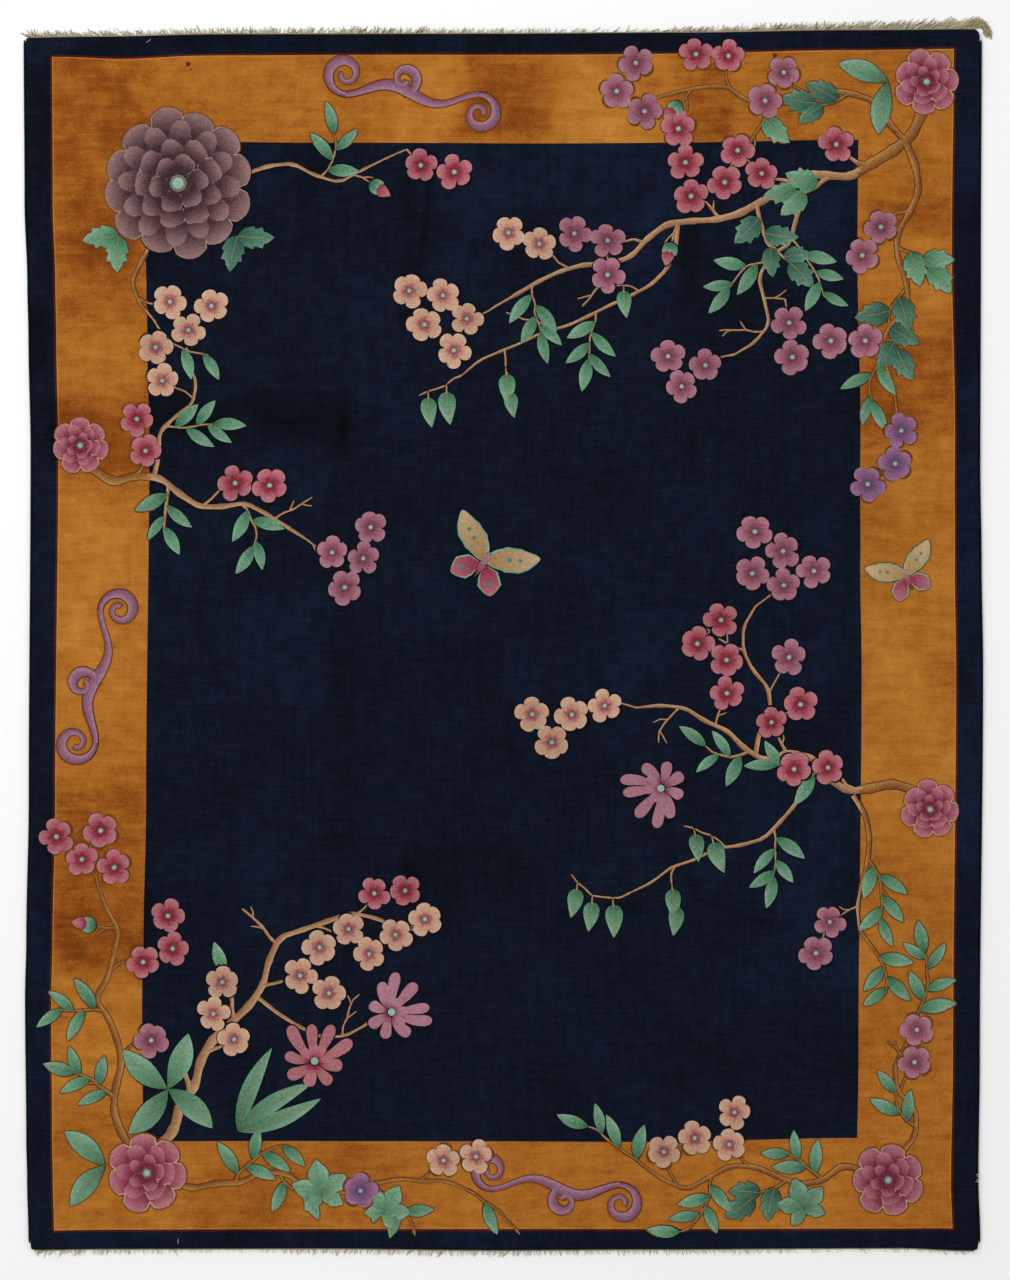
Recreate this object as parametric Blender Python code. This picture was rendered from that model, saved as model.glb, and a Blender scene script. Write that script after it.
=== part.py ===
"""A hand-knotted Chinese carpet of the 1920s kind, lying flat on a floor.

Run it with blender --background --python part.py, or from Blender's text editor.
Units are metres and +Z is up. X runs across the carpet and Y along it. The origin is on the
floor, under the middle of the box that holds every piece.

Five pieces: the knotted pile on its foundation, an overcast cord along each side, and at each
end a narrow woven web with the warp ends that stand out of it as a fringe.
"""

import math
import random
from collections import namedtuple

import bmesh
import bpy
import numpy as np
from mathutils import Vector

# Driving dimensions of the carpet, before its edges stray from straight lines
WIDTH = 2.720
LENGTH = 3.478
THICKNESS = 0.012
CORNER_RADIUS = 0.014
PILE_SHOULDER = 0.004
GAP = 0.0003

# Bands of the field and border, measured inwards from the edges
OUTER_BAND_SIDE = 0.069
OUTER_BAND_END = 0.052
GOLD_BAND_SIDE = 0.274
GOLD_BAND_END = 0.254
GOLD_X = WIDTH / 2 - OUTER_BAND_SIDE
GOLD_Y = LENGTH / 2 - OUTER_BAND_END
FIELD_X = GOLD_X - GOLD_BAND_SIDE
FIELD_Y = GOLD_Y - GOLD_BAND_END

# Overcast cord along each side, with a flat foot
CORD_WIDTH = 0.007
CORD_HEIGHT = 0.009
CORD_FOOT = 0.004
CORD_CORNER = 0.0021
CORD_SETBACK = 0.018
CORD_TAPER = 0.003

# Woven web at each end, and the locks that its warp ends make
WEB_WIDTH = 0.004
WEB_HEIGHT = 0.003
WEB_SETBACK = 0.012
LOCK_WIDTH = 0.006
TIP_WIDTH = 0.0022
TIP_HEIGHT = 0.0012

# The slab's cuts, so that its top can sink along the creases
COARSE_CUT = 0.15
FINE_CUT = 0.045
FINE_ACROSS = (-0.62, -0.15)
FINE_ALONG = (0.46, 0.76)
SWELL_HEIGHT = 0.0004
SWELL_ACROSS = 0.83
SWELL_ALONG = 1.19

# How far a straight edge strays outwards: at is the place along the edge from its middle
Stray = namedtuple("Stray", "at out")
LEFT_STRAY = (
    Stray(-1.712, -0.0069),
    Stray(-1.540, -0.0031),
    Stray(-1.426, -0.0006),
    Stray(-1.026, 0.0029),
    Stray(-0.854, -0.0006),
    Stray(-0.454, -0.0077),
    Stray(0.547, -0.0129),
    Stray(0.865, -0.0069),
    Stray(1.019, -0.0037),
    Stray(1.262, 0.0043),
    Stray(1.729, 0.0069),
)
RIGHT_STRAY = (
    Stray(-1.712, -0.0017),
    Stray(-1.540, -0.0072),
    Stray(-1.197, -0.0031),
    Stray(-0.082, 0.0063),
    Stray(0.233, 0.0020),
    Stray(0.500, -0.0017),
    Stray(1.119, 0.0),
    Stray(1.749, 0.0026),
)
TOP_STRAY = (
    Stray(-1.366, -0.0114),
    Stray(-1.154, -0.0086),
    Stray(-0.811, -0.0017),
    Stray(-0.010, -0.0003),
    Stray(0.505, 0.0029),
    Stray(0.991, 0.0100),
    Stray(1.363, 0.0125),
)
BOTTOM_STRAY = (
    Stray(-1.349, 0.0017),
    Stray(-1.125, -0.0011),
    Stray(-0.525, -0.0023),
    Stray(-0.010, 0.0029),
    Stray(0.390, 0.0003),
    Stray(1.134, -0.0034),
    Stray(1.334, 0.0037),
)

# Soft creases where the carpet was folded away: a straight trough between two ends
Crease = namedtuple("Crease", "x_from y_from x_to y_to depth half_width")
CREASES = (
    Crease(-0.440, 1.66, -0.453, 0.62, 0.0016, 0.045),
    Crease(-0.205, 1.50, -0.300, 0.40, 0.0011, 0.050),
    Crease(-0.600, 0.57, -0.330, 0.64, 0.0013, 0.045),
)

# The fringe along an end: reach is straight out, lean is sideways in degrees and is positive
# to the right, and fullness is the share of the places that hold a lock
FringeRow = namedtuple("FringeRow", "at reach lean fullness")
TOP_FRINGE = (
    FringeRow(-1.36, 0.012, -58, 1.0),
    FringeRow(-1.18, 0.011, -38, 1.0),
    FringeRow(-0.80, 0.013, -12, 1.0),
    FringeRow(-0.55, 0.014, 15, 1.0),
    FringeRow(-0.10, 0.012, 25, 0.95),
    FringeRow(0.10, 0.011, 22, 0.7),
    FringeRow(0.38, 0.010, 28, 0.45),
    FringeRow(0.60, 0.012, 36, 0.9),
    FringeRow(0.95, 0.015, 44, 1.0),
    FringeRow(1.30, 0.021, 50, 1.0),
)
BOTTOM_FRINGE = (
    FringeRow(-1.34, 0.010, -20, 1.0),
    FringeRow(-1.05, 0.009, 4, 0.8),
    FringeRow(-0.80, 0.007, 10, 0.5),
    FringeRow(-0.55, 0.012, -14, 1.0),
    FringeRow(-0.15, 0.012, -18, 1.0),
    FringeRow(0.30, 0.010, 8, 0.9),
    FringeRow(0.70, 0.011, 14, 0.95),
    FringeRow(0.95, 0.007, 20, 0.5),
    FringeRow(1.20, 0.007, 34, 0.7),
    FringeRow(1.35, 0.008, 40, 0.7),
)
TOP_PLACES = 112
BOTTOM_PLACES = 90
TOP_SEED = 11
BOTTOM_SEED = 23

# Longer locks that sweep round the upper right corner: from_end is the root's distance from
# the end of the web, and each goes round an arc and then runs on down beside the carpet
CornerLock = namedtuple("CornerLock", "from_end heading radius tail")
CORNER_LOCKS = (
    CornerLock(0.004, 48, 0.0165, 0.011),
    CornerLock(0.018, 54, 0.0279, 0.015),
    CornerLock(0.033, 58, 0.0392, 0.010),
)


def clear_scene():
    for old in list(bpy.data.objects):
        bpy.data.objects.remove(old)


def read_table(rows, at, column):
    """A column of a table at a place between its rows, eased so that no corner shows."""
    if at <= rows[0].at:
        return getattr(rows[0], column)
    for low, high in zip(rows, rows[1:]):
        if at <= high.at:
            share = (at - low.at) / (high.at - low.at)
            eased = share * share * (3 - 2 * share)
            start = getattr(low, column)
            return start + (getattr(high, column) - start) * eased
    return getattr(rows[-1], column)


def left_x(y):
    return -WIDTH / 2 - read_table(LEFT_STRAY, y, "out")


def right_x(y):
    return WIDTH / 2 + read_table(RIGHT_STRAY, y, "out")


def top_y(x):
    return LENGTH / 2 + read_table(TOP_STRAY, x, "out")


def bottom_y(x):
    return -LENGTH / 2 - read_table(BOTTOM_STRAY, x, "out")


def wool(name, red, green, blue, roughness):
    """A plain matt fibre of one colour, in linear values."""
    material = bpy.data.materials.new(name)
    material.use_nodes = True
    shader = material.node_tree.nodes["Principled BSDF"]
    shader.inputs["Base Color"].default_value = (red, green, blue, 1)
    shader.inputs["Roughness"].default_value = roughness
    shader.inputs["Metallic"].default_value = 0.0
    shader.inputs["Sheen Weight"].default_value = 0.3
    material.diffuse_color = (red, green, blue, 1)
    return material


def object_of(bm, name, materials, sharp_angle):
    """Turns the modelling mesh into a named object, smooth but for its sharp edges."""
    bmesh.ops.recalc_face_normals(bm, faces=bm.faces)
    mesh = bpy.data.meshes.new(name)
    bm.to_mesh(mesh)
    bm.free()
    mesh.shade_smooth()
    mesh.set_sharp_from_angle(angle=math.radians(sharp_angle))
    for material in materials:
        mesh.materials.append(material)
    made = bpy.data.objects.new(name, mesh)
    bpy.context.scene.collection.objects.link(made)
    return made


def cut_places(half_size, fine_range, lines):
    """Places for the slab's cuts: coarse ones, finer ones at the creases, and the band lines."""
    inner = half_size - 0.6 * COARSE_CUT
    places = set()
    steps = math.ceil(2 * inner / COARSE_CUT)
    for step in range(steps + 1):
        place = -inner + 2 * inner * step / steps
        near_fine = fine_range[0] - FINE_CUT < place < fine_range[1] + FINE_CUT
        near_line = any(abs(place - line) < FINE_CUT for line in lines)
        if not near_fine and not near_line:
            places.add(round(place, 4))
    fine_steps = round((fine_range[1] - fine_range[0]) / FINE_CUT)
    for step in range(fine_steps + 1):
        places.add(round(fine_range[0] + (fine_range[1] - fine_range[0]) * step / fine_steps, 4))
    places.update(round(line, 4) for line in lines)
    return sorted(places)


def corner_arc(centre_x, centre_y, from_degrees):
    """Three points of a quarter circle, counterclockwise."""
    arc = []
    for step in range(4):
        angle = math.radians(from_degrees + 30 * step)
        arc.append((centre_x + CORNER_RADIUS * math.cos(angle), centre_y + CORNER_RADIUS * math.sin(angle)))
    return arc


def carpet_outline(columns, rows):
    """The carpet's edge, counterclockwise from the lower left corner, as (x, y) pairs."""
    low_left = (left_x(-LENGTH / 2), bottom_y(-WIDTH / 2))
    low_right = (right_x(-LENGTH / 2), bottom_y(WIDTH / 2))
    high_right = (right_x(LENGTH / 2), top_y(WIDTH / 2))
    high_left = (left_x(LENGTH / 2), top_y(-WIDTH / 2))
    radius = CORNER_RADIUS
    outline = corner_arc(low_left[0] + radius, low_left[1] + radius, 180)
    outline += [(x, bottom_y(x)) for x in columns]
    outline += corner_arc(low_right[0] - radius, low_right[1] + radius, 270)
    outline += [(right_x(y), y) for y in rows]
    outline += corner_arc(high_right[0] - radius, high_right[1] - radius, 0)
    outline += [(x, top_y(x)) for x in reversed(columns)]
    outline += corner_arc(high_left[0] + radius, high_left[1] - radius, 90)
    outline += [(left_x(y), y) for y in reversed(rows)]
    return outline


def sink(x, y):
    """How far the pile's surface lies below its full height, in creases and gentle swells."""
    depth = 0.0
    for crease in CREASES:
        start = Vector((crease.x_from, crease.y_from))
        along = Vector((crease.x_to, crease.y_to)) - start
        share = (Vector((x, y)) - start).dot(along) / along.length_squared
        inside = min(max(share, 0.0), 1.0)
        away = (Vector((x, y)) - start - along * inside).length
        depth += crease.depth * math.exp(-((away / crease.half_width) ** 2))
    swell = math.cos(2 * math.pi * x / SWELL_ACROSS) * math.cos(2 * math.pi * y / SWELL_ALONG)
    return depth + SWELL_HEIGHT * (1 - swell) / 2


def make_rug(columns, rows, navy, gold):
    """The knotted slab: outline, thickness, shorn shoulder, and the creases in its top."""
    bm = bmesh.new()
    corners = [bm.verts.new((x, y, 0)) for x, y in carpet_outline(columns, rows)]
    foot = bm.faces.new(corners)
    raised = bmesh.ops.extrude_face_region(bm, geom=[foot], use_keep_orig=True)
    lifted = [part for part in raised["geom"] if isinstance(part, bmesh.types.BMVert)]
    bmesh.ops.translate(bm, verts=lifted, vec=(0, 0, THICKNESS))
    top = next(part for part in raised["geom"] if isinstance(part, bmesh.types.BMFace))
    bmesh.ops.bevel(
        bm,
        geom=list(top.edges),
        offset=PILE_SHOULDER,
        segments=2,
        profile=0.5,
        affect="EDGES",
    )

    cuts = [((x, 0, 0), (1, 0, 0)) for x in columns] + [((0, y, 0), (0, 1, 0)) for y in rows]
    for point, normal in cuts:
        flat = [face for face in bm.faces if face.calc_center_median().z > THICKNESS - 1e-6]
        edges = {edge for face in flat for edge in face.edges}
        verts = {vert for face in flat for vert in face.verts}
        geometry = flat + list(edges) + list(verts)
        bmesh.ops.bisect_plane(bm, geom=geometry, dist=0.001, plane_co=point, plane_no=normal)

    for face in bm.faces:
        centre = face.calc_center_median()
        in_gold = abs(centre.x) < GOLD_X and abs(centre.y) < GOLD_Y
        in_field = abs(centre.x) < FIELD_X and abs(centre.y) < FIELD_Y
        face.material_index = 1 if centre.z > PILE_SHOULDER and in_gold and not in_field else 0
    for vert in bm.verts:
        if vert.co.z > THICKNESS - 1e-6:
            vert.co.z -= sink(vert.co.x, vert.co.y)
    return object_of(bm, "rug", (navy, gold), 50)


def loft(bm, sections):
    """A closed tube through a list of like sections. Returns each span's side faces."""
    rings = [[bm.verts.new(point) for point in section] for section in sections]
    spans = []
    for first, second in zip(rings, rings[1:]):
        count = len(first)
        sides = []
        for index in range(count):
            after = (index + 1) % count
            sides.append(bm.faces.new((first[index], first[after], second[after], second[index])))
        spans.append(sides)
    bm.faces.new(list(reversed(rings[0])))
    bm.faces.new(rings[-1])
    return spans


def cord_section(inner_x, y, side, share):
    """Eight points round the side cord, from its foot up its outer face and back."""
    half = CORD_WIDTH / 2 * share
    corner = CORD_CORNER * share
    foot = CORD_FOOT / 2 * share
    middle = inner_x + side * (GAP + CORD_WIDTH / 2)
    height = CORD_HEIGHT * share
    profile = (
        (-foot, 0),
        (foot, 0),
        (half, corner),
        (half, height - corner),
        (half - corner, height),
        (corner - half, height),
        (-half, height - corner),
        (-half, corner),
    )
    return [(middle + side * out, y, up) for out, up in profile]


def make_cord(name, rows, edge_x, side, material):
    """The overcast cord that finishes one side, following that side's own line."""
    end = LENGTH / 2 - CORD_SETBACK
    sections = [cord_section(edge_x(-end), -end - CORD_TAPER, side, 0.6)]
    sections += [cord_section(edge_x(y), y, side, 1.0) for y in [-end, *rows, end]]
    sections.append(cord_section(edge_x(end), end + CORD_TAPER, side, 0.6))
    bm = bmesh.new()
    loft(bm, sections)
    return object_of(bm, name, (material,), 60)


def lock_section(point, heading, width, height):
    """Four points round a lock that lies flat: a wide foot on the floor and a narrower top."""
    across = Vector((heading.y, -heading.x))
    foot = across * width / 2
    crown = foot * 0.62
    return [
        (point.x - foot.x, point.y - foot.y, 0),
        (point.x + foot.x, point.y + foot.y, 0),
        (point.x + crown.x, point.y + crown.y, height),
        (point.x - crown.x, point.y - crown.y, height),
    ]


def grow_lock(bm, root, route):
    """Extrudes a root face of the web along a route of (point, heading) pairs."""
    face = root
    for step, (point, heading) in enumerate(route, start=1):
        share = step / len(route)
        width = LOCK_WIDTH + (TIP_WIDTH - LOCK_WIDTH) * share
        height = WEB_HEIGHT * 0.9 + (TIP_HEIGHT - WEB_HEIGHT * 0.9) * share
        face = bmesh.ops.extrude_discrete_faces(bm, faces=[face])["faces"][0]
        section = [Vector(corner) for corner in lock_section(point, heading, width, height)]
        middle = Vector((point.x, point.y, height / 2))
        left_out = sorted(face.verts, key=lambda vert: vert.co.z)
        for pair, targets in ((left_out[:2], section[:2]), (left_out[2:], section[2:])):
            across = Vector((heading.y, -heading.x, 0))
            ordered = sorted(pair, key=lambda vert: (vert.co - middle).dot(across))
            ordered[0].co = targets[0]
            ordered[1].co = targets[1]
    return face


def swept_route(start, outward, lean, reach):
    """A lock that leaves the web nearly straight and is combed over to one side."""
    route = []
    point = Vector(start)
    length = reach / math.cos(math.radians(lean))
    for share in (0.45, 0.85, 1.15):
        angle = math.radians(lean * share)
        heading = Vector((math.sin(angle), outward * math.cos(angle)))
        point = point + heading * length / 3
        route.append((point, heading))
    return route


def corner_route(start, lock):
    """A lock that turns round the corner on an arc and runs on down beside the carpet."""
    heading_angle = math.radians(lock.heading)
    turn = heading_angle + math.pi / 2
    steps = 5
    route = []
    point = Vector(start)
    for step in range(steps):
        middle_angle = heading_angle - turn * (step + 0.5) / steps
        point = point + Vector((math.cos(middle_angle), math.sin(middle_angle))) * lock.radius * turn / steps
        angle = heading_angle - turn * (step + 1) / steps
        route.append((point, Vector((math.cos(angle), math.sin(angle)))))
    down = Vector((0, -1))
    route.append((point + down * lock.tail, down))
    return route


def end_line(columns, edge_y, outward):
    """The slab's end as it is built, straight from cut to cut, so that the web can follow it."""
    start = (left_x(outward * LENGTH / 2) + CORNER_RADIUS, edge_y(-WIDTH / 2))
    finish = (right_x(outward * LENGTH / 2) - CORNER_RADIUS, edge_y(WIDTH / 2))
    points = [start] + [(x, edge_y(x)) for x in columns] + [finish]
    across = [x for x, y in points]
    along = [y for x, y in points]
    return lambda x: float(np.interp(x, across, along))


def make_fringe(name, edge_y, outward, places, table, seed, corner_locks, material):
    """A woven web along one end, with the locks drawn out of its outer face."""
    chance = random.Random(seed)
    start_x = left_x(outward * LENGTH / 2) + WEB_SETBACK
    end_x = right_x(outward * LENGTH / 2) - WEB_SETBACK
    pitch = (end_x - start_x) / places
    roots = []
    for place in range(places):
        x = start_x + pitch * (place + 0.5) + chance.uniform(-0.15, 0.15) * pitch
        stray = chance.uniform(0.82, 1.18)
        if chance.random() > read_table(table, x, "fullness"):
            continue
        in_corner = corner_locks and end_x - x < corner_locks[-1].from_end + LOCK_WIDTH
        if not in_corner:
            roots.append((x, stray, None))
    for lock in reversed(corner_locks):
        roots.append((end_x - lock.from_end - LOCK_WIDTH / 2, 1.0, lock))

    stations = [start_x]
    for x, stray, lock in roots:
        stations += [x - LOCK_WIDTH / 2, x + LOCK_WIDTH / 2]
    stations.append(end_x)
    sections = []
    for x in stations:
        inner = edge_y(x) + outward * GAP
        outer = inner + outward * WEB_WIDTH
        sections.append(((x, inner, 0), (x, outer, 0), (x, outer, WEB_HEIGHT), (x, inner, WEB_HEIGHT)))
    bm = bmesh.new()
    spans = loft(bm, sections)
    for index, (x, stray, lock) in enumerate(roots):
        root = spans[2 * index + 1][1]
        start = (x, edge_y(x) + outward * (GAP + WEB_WIDTH))
        if lock:
            route = corner_route(start, lock)
        else:
            lean = read_table(table, x, "lean")
            route = swept_route(start, outward, lean, read_table(table, x, "reach") * stray)
        grow_lock(bm, root, route)
    return object_of(bm, name, (material,), 60)


def centre_on_origin(pieces):
    """Moves every piece alike, so that the box that holds them all is centred on the origin."""
    points = [vert.co for piece in pieces for vert in piece.data.vertices]
    middle_x = (min(p.x for p in points) + max(p.x for p in points)) / 2
    middle_y = (min(p.y for p in points) + max(p.y for p in points)) / 2
    for piece in pieces:
        for vert in piece.data.vertices:
            vert.co.x -= middle_x
            vert.co.y -= middle_y
    print(f"centred by {middle_x * 1000:.2f}, {middle_y * 1000:.2f} mm")


def main():
    clear_scene()
    navy = wool("navy_wool_pile", 0.0086, 0.0130, 0.0270, 0.9)
    gold = wool("gold_wool_pile", 0.395, 0.160, 0.036, 0.88)
    overcasting = wool("dark_green_overcasting_wool", 0.0060, 0.0150, 0.0170, 0.85)
    warp = wool("cream_cotton_warp", 0.500, 0.430, 0.310, 0.9)
    columns = cut_places(WIDTH / 2, FINE_ACROSS, (-GOLD_X, -FIELD_X, FIELD_X, GOLD_X))
    rows = cut_places(LENGTH / 2, FINE_ALONG, (-GOLD_Y, -FIELD_Y, FIELD_Y, GOLD_Y))
    top = end_line(columns, top_y, 1)
    bottom = end_line(columns, bottom_y, -1)
    pieces = [
        make_rug(columns, rows, navy, gold),
        make_cord("selvedge_left", rows, left_x, -1, overcasting),
        make_cord("selvedge_right", rows, right_x, 1, overcasting),
        make_fringe("fringe_top", top, 1, TOP_PLACES, TOP_FRINGE, TOP_SEED, CORNER_LOCKS, warp),
        make_fringe("fringe_bottom", bottom, -1, BOTTOM_PLACES, BOTTOM_FRINGE, BOTTOM_SEED, (), warp),
    ]
    centre_on_origin(pieces)


main()
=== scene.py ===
# %% [markdown]
# # A hand-knotted Chinese carpet, dressed for a picture from above
#
# The frame holds five plain solids: the pile, a cord along each side and a fringe at each end. This
# notebook gives each of them the surface of the real thing. The pile is laid out again as one fine
# mesh, so that its bands can have crisp edges, and the flowers are modelled as raised pads with a
# flat dark sheet round them, which paints the shadow in the groove that on such carpets is shorn
# round every motif.

# %% Load the frame
import math
import random
from collections import namedtuple
import bpy
import numpy as np
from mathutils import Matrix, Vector


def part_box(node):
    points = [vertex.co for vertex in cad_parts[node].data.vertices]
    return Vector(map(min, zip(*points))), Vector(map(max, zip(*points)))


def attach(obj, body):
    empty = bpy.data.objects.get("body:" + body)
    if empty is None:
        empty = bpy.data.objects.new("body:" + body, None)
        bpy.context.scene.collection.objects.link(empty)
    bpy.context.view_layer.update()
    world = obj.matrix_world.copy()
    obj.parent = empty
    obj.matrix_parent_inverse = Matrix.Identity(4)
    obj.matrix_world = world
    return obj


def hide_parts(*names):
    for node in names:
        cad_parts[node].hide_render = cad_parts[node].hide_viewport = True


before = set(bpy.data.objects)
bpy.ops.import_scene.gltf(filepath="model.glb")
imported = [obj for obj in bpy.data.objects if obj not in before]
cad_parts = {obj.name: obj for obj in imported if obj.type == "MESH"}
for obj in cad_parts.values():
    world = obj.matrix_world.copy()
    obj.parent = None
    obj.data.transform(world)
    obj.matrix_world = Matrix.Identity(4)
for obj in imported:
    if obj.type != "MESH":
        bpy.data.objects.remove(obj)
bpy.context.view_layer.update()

print("solids:", sorted(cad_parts))

# %% [markdown]
# ## The carpet's own lines
#
# A carpet that was knotted by hand and walked on for years has no straight edge. A table gives how
# far each edge strays from a straight line, and the same is done for the width of the navy band.
# Sizes are in metres, X runs across the carpet and Y along it, from its middle.

# %% Sizes and strays
WIDTH = 2.720
LENGTH = 3.478
THICKNESS = 0.012
PILE_SHOULDER = 0.004
RED_LINE = 0.0058
LIGHT_LINE = 0.0035
FIELD_LINE = 0.006

Line = namedtuple("Line", "at out")


def edge_table(*rows):
    """Rows of a place along an edge and the value there: how far out, or how wide a band is."""
    return [Line(*row) for row in rows]


LEFT_EDGE = edge_table(
    (-1.712, -0.0069), (-1.540, -0.0031), (-1.426, -0.0006), (-1.026, 0.0029),
    (-0.854, -0.0006), (-0.454, -0.0077), (0.547, -0.0129), (0.865, -0.0069),
    (1.019, -0.0037), (1.262, 0.0043), (1.729, 0.0069),
)
RIGHT_EDGE = edge_table(
    (-1.712, -0.0017), (-1.540, -0.0072), (-1.197, -0.0031), (-0.082, 0.0063),
    (0.233, 0.0020), (0.500, -0.0017), (1.119, 0.0), (1.749, 0.0026),
)
TOP_EDGE = edge_table(
    (-1.366, -0.0114), (-1.154, -0.0086), (-0.811, -0.0017), (-0.010, -0.0003),
    (0.505, 0.0029), (0.991, 0.0100), (1.363, 0.0125),
)
BOTTOM_EDGE = edge_table(
    (-1.349, 0.0017), (-1.125, -0.0011), (-0.525, -0.0023), (-0.010, 0.0029), (0.390, 0.0003),
    (1.134, -0.0034), (1.334, 0.0037),
)
LEFT_NAVY = edge_table((-1.70, 0.0620), (-0.45, 0.0640), (0.60, 0.0680), (1.68, 0.0695))
RIGHT_NAVY = edge_table(
    (-1.69, 0.0675), (-1.20, 0.0655), (0.12, 0.0658), (0.60, 0.0612), (1.12, 0.0715),
    (1.70, 0.0686),
)
TOP_NAVY = edge_table(
    (-1.30, 0.0506), (-1.07, 0.0595), (-0.88, 0.0555), (-0.47, 0.0546), (0.28, 0.0558),
    (0.99, 0.0520), (1.29, 0.0506),
)
BOTTOM_NAVY = edge_table(
    (-1.29, 0.0495), (-0.52, 0.0503), (-0.01, 0.0555), (0.39, 0.0529), (1.13, 0.0506),
    (1.29, 0.0566),
)
LEFT_GOLD = 0.266
RIGHT_GOLD = 0.276
TOP_GOLD = edge_table((-1.03, 0.250), (-0.47, 0.257), (0.48, 0.260), (1.01, 0.262))
BOTTOM_GOLD = edge_table((-1.02, 0.258), (-0.07, 0.2565), (0.39, 0.2545), (1.02, 0.265))


def read_line(rows, at):
    """The table's value at one or many places, eased between rows so that no corner shows."""
    places = np.array([row.at for row in rows])
    values = np.array([row.out for row in rows])
    after = np.clip(np.searchsorted(places, at), 1, len(rows) - 1)
    share = np.clip((at - places[after - 1]) / (places[after] - places[after - 1]), 0, 1)
    eased = share * share * (3 - 2 * share)
    return values[after - 1] + (values[after] - values[after - 1]) * eased


def left_x(y):
    return -WIDTH / 2 - read_line(LEFT_EDGE, y)


def right_x(y):
    return WIDTH / 2 + read_line(RIGHT_EDGE, y)


def top_y(x):
    return LENGTH / 2 + read_line(TOP_EDGE, x)


def bottom_y(x):
    return -LENGTH / 2 - read_line(BOTTOM_EDGE, x)


low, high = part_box("rug")
SHIFT = Vector((low.x + WIDTH / 2 + LEFT_EDGE[-1].out, high.y - LENGTH / 2 - TOP_EDGE[-1].out, 0))
print("the carpet's middle lies at", [round(1000 * value, 2) for value in SHIFT], "mm")

# %% [markdown]
# ## How high the pile stands
#
# Folds have left three soft troughs in the pile, and the shears left it a little uneven. Every
# motif is laid on this same height later, so it is one function of the place.

# %% Height of the pile
Crease = namedtuple("Crease", "x_from y_from x_to y_to depth half_width")
CREASES = (
    Crease(-0.440, 1.66, -0.453, 0.62, 0.0016, 0.045),
    Crease(-0.205, 1.50, -0.300, 0.40, 0.0011, 0.050),
    Crease(-0.600, 0.57, -0.330, 0.64, 0.0013, 0.045),
)
SWELL_HEIGHT = 0.0004
SWELL_ACROSS = 0.83
SWELL_ALONG = 1.19


def distance_to(x, y, crease):
    """How far places lie from a straight stretch between two ends."""
    along_x = crease.x_to - crease.x_from
    along_y = crease.y_to - crease.y_from
    share = ((x - crease.x_from) * along_x + (y - crease.y_from) * along_y) / (along_x**2 + along_y**2)
    inside = np.clip(share, 0, 1)
    return np.hypot(x - crease.x_from - along_x * inside, y - crease.y_from - along_y * inside)


def pile_height(x, y):
    depth = sum(c.depth * np.exp(-((distance_to(x, y, c) / c.half_width) ** 2)) for c in CREASES)
    swell = np.cos(2 * math.pi * x / SWELL_ACROSS) * np.cos(2 * math.pi * y / SWELL_ALONG)
    return THICKNESS - depth - SWELL_HEIGHT * (1 - swell) / 2


print("pile over the first crease:", round(1000 * float(pile_height(-0.444, 1.3)), 2), "mm")

# %% [markdown]
# ## Painted sheen and shade of the leaning pile, and its wear
#
# Cut pile looks lighter where it leans away from the light and darker where it leans towards it, so
# feet, folds and a vacuum cleaner leave patches and stripes of sheen and shade, and wear adds its
# own. That sheen and shade is painted into the pile's colour. The patches are written down as
# soft-edged boxes with a tone, from -1, dark, to 1, bright, and thin lines of painted shade follow
# the creases. A slow wave bends their edges, because a real patch has no straight side. The tone is
# stored on the mesh, where the pile's colours can read it.

# %% Painted sheen and shade of the pile, with its wear
Patch = namedtuple("Patch", "x_from x_to y_from y_to tone soft")
# Painted sheen and shade of the leaning pile, with its wear: soft boxes of tone in the field
FIELD_PATCHES = (
    Patch(-0.582, -0.510, 1.12, 1.43, -0.55, 0.035),
    Patch(-0.296, -0.253, 0.89, 1.43, -0.45, 0.022),
    Patch(-0.18, 0.505, 1.03, 1.43, 0.40, 0.060),
    Patch(0.39, 0.505, 1.20, 1.35, 0.30, 0.050),
    Patch(-0.02, 0.16, 1.00, 1.26, -0.65, 0.060),
    Patch(0.505, 0.562, 0.97, 1.43, -0.75, 0.025),
    Patch(0.52, 0.55, 0.44, 0.60, -0.35, 0.025),
    Patch(0.535, 0.56, -0.46, -0.27, -0.40, 0.020),
    Patch(0.73, 1.00, 1.13, 1.43, 0.40, 0.060),
    Patch(-1.02, -0.45, 0.575, 0.72, -0.60, 0.045),
    Patch(-0.95, -0.43, 0.59, 0.675, -0.50, 0.035),
    Patch(-1.00, -0.46, 0.72, 0.735, 0.50, 0.012),
    Patch(-0.496, -0.425, -0.60, 0.49, -0.38, 0.030),
    Patch(-0.81, -0.525, -0.17, 0.12, 0.25, 0.080),
    Patch(-0.18, -0.01, -0.17, 0.00, -0.40, 0.050),
    Patch(-0.31, -0.23, -0.33, -0.24, -0.35, 0.040),
    Patch(-0.01, 0.05, -0.34, -0.17, -0.35, 0.035),
    Patch(-0.296, 0.05, -0.74, -0.57, -0.40, 0.060),
    Patch(-0.30, -0.22, -0.69, -0.62, -0.60, 0.030),
    Patch(0.276, 0.39, -0.78, -0.73, -0.50, 0.030),
    Patch(0.73, 1.00, -1.03, -0.45, 0.40, 0.100),
    Patch(0.25, 1.00, -0.20, 0.35, 0.15, 0.120),
)
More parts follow.
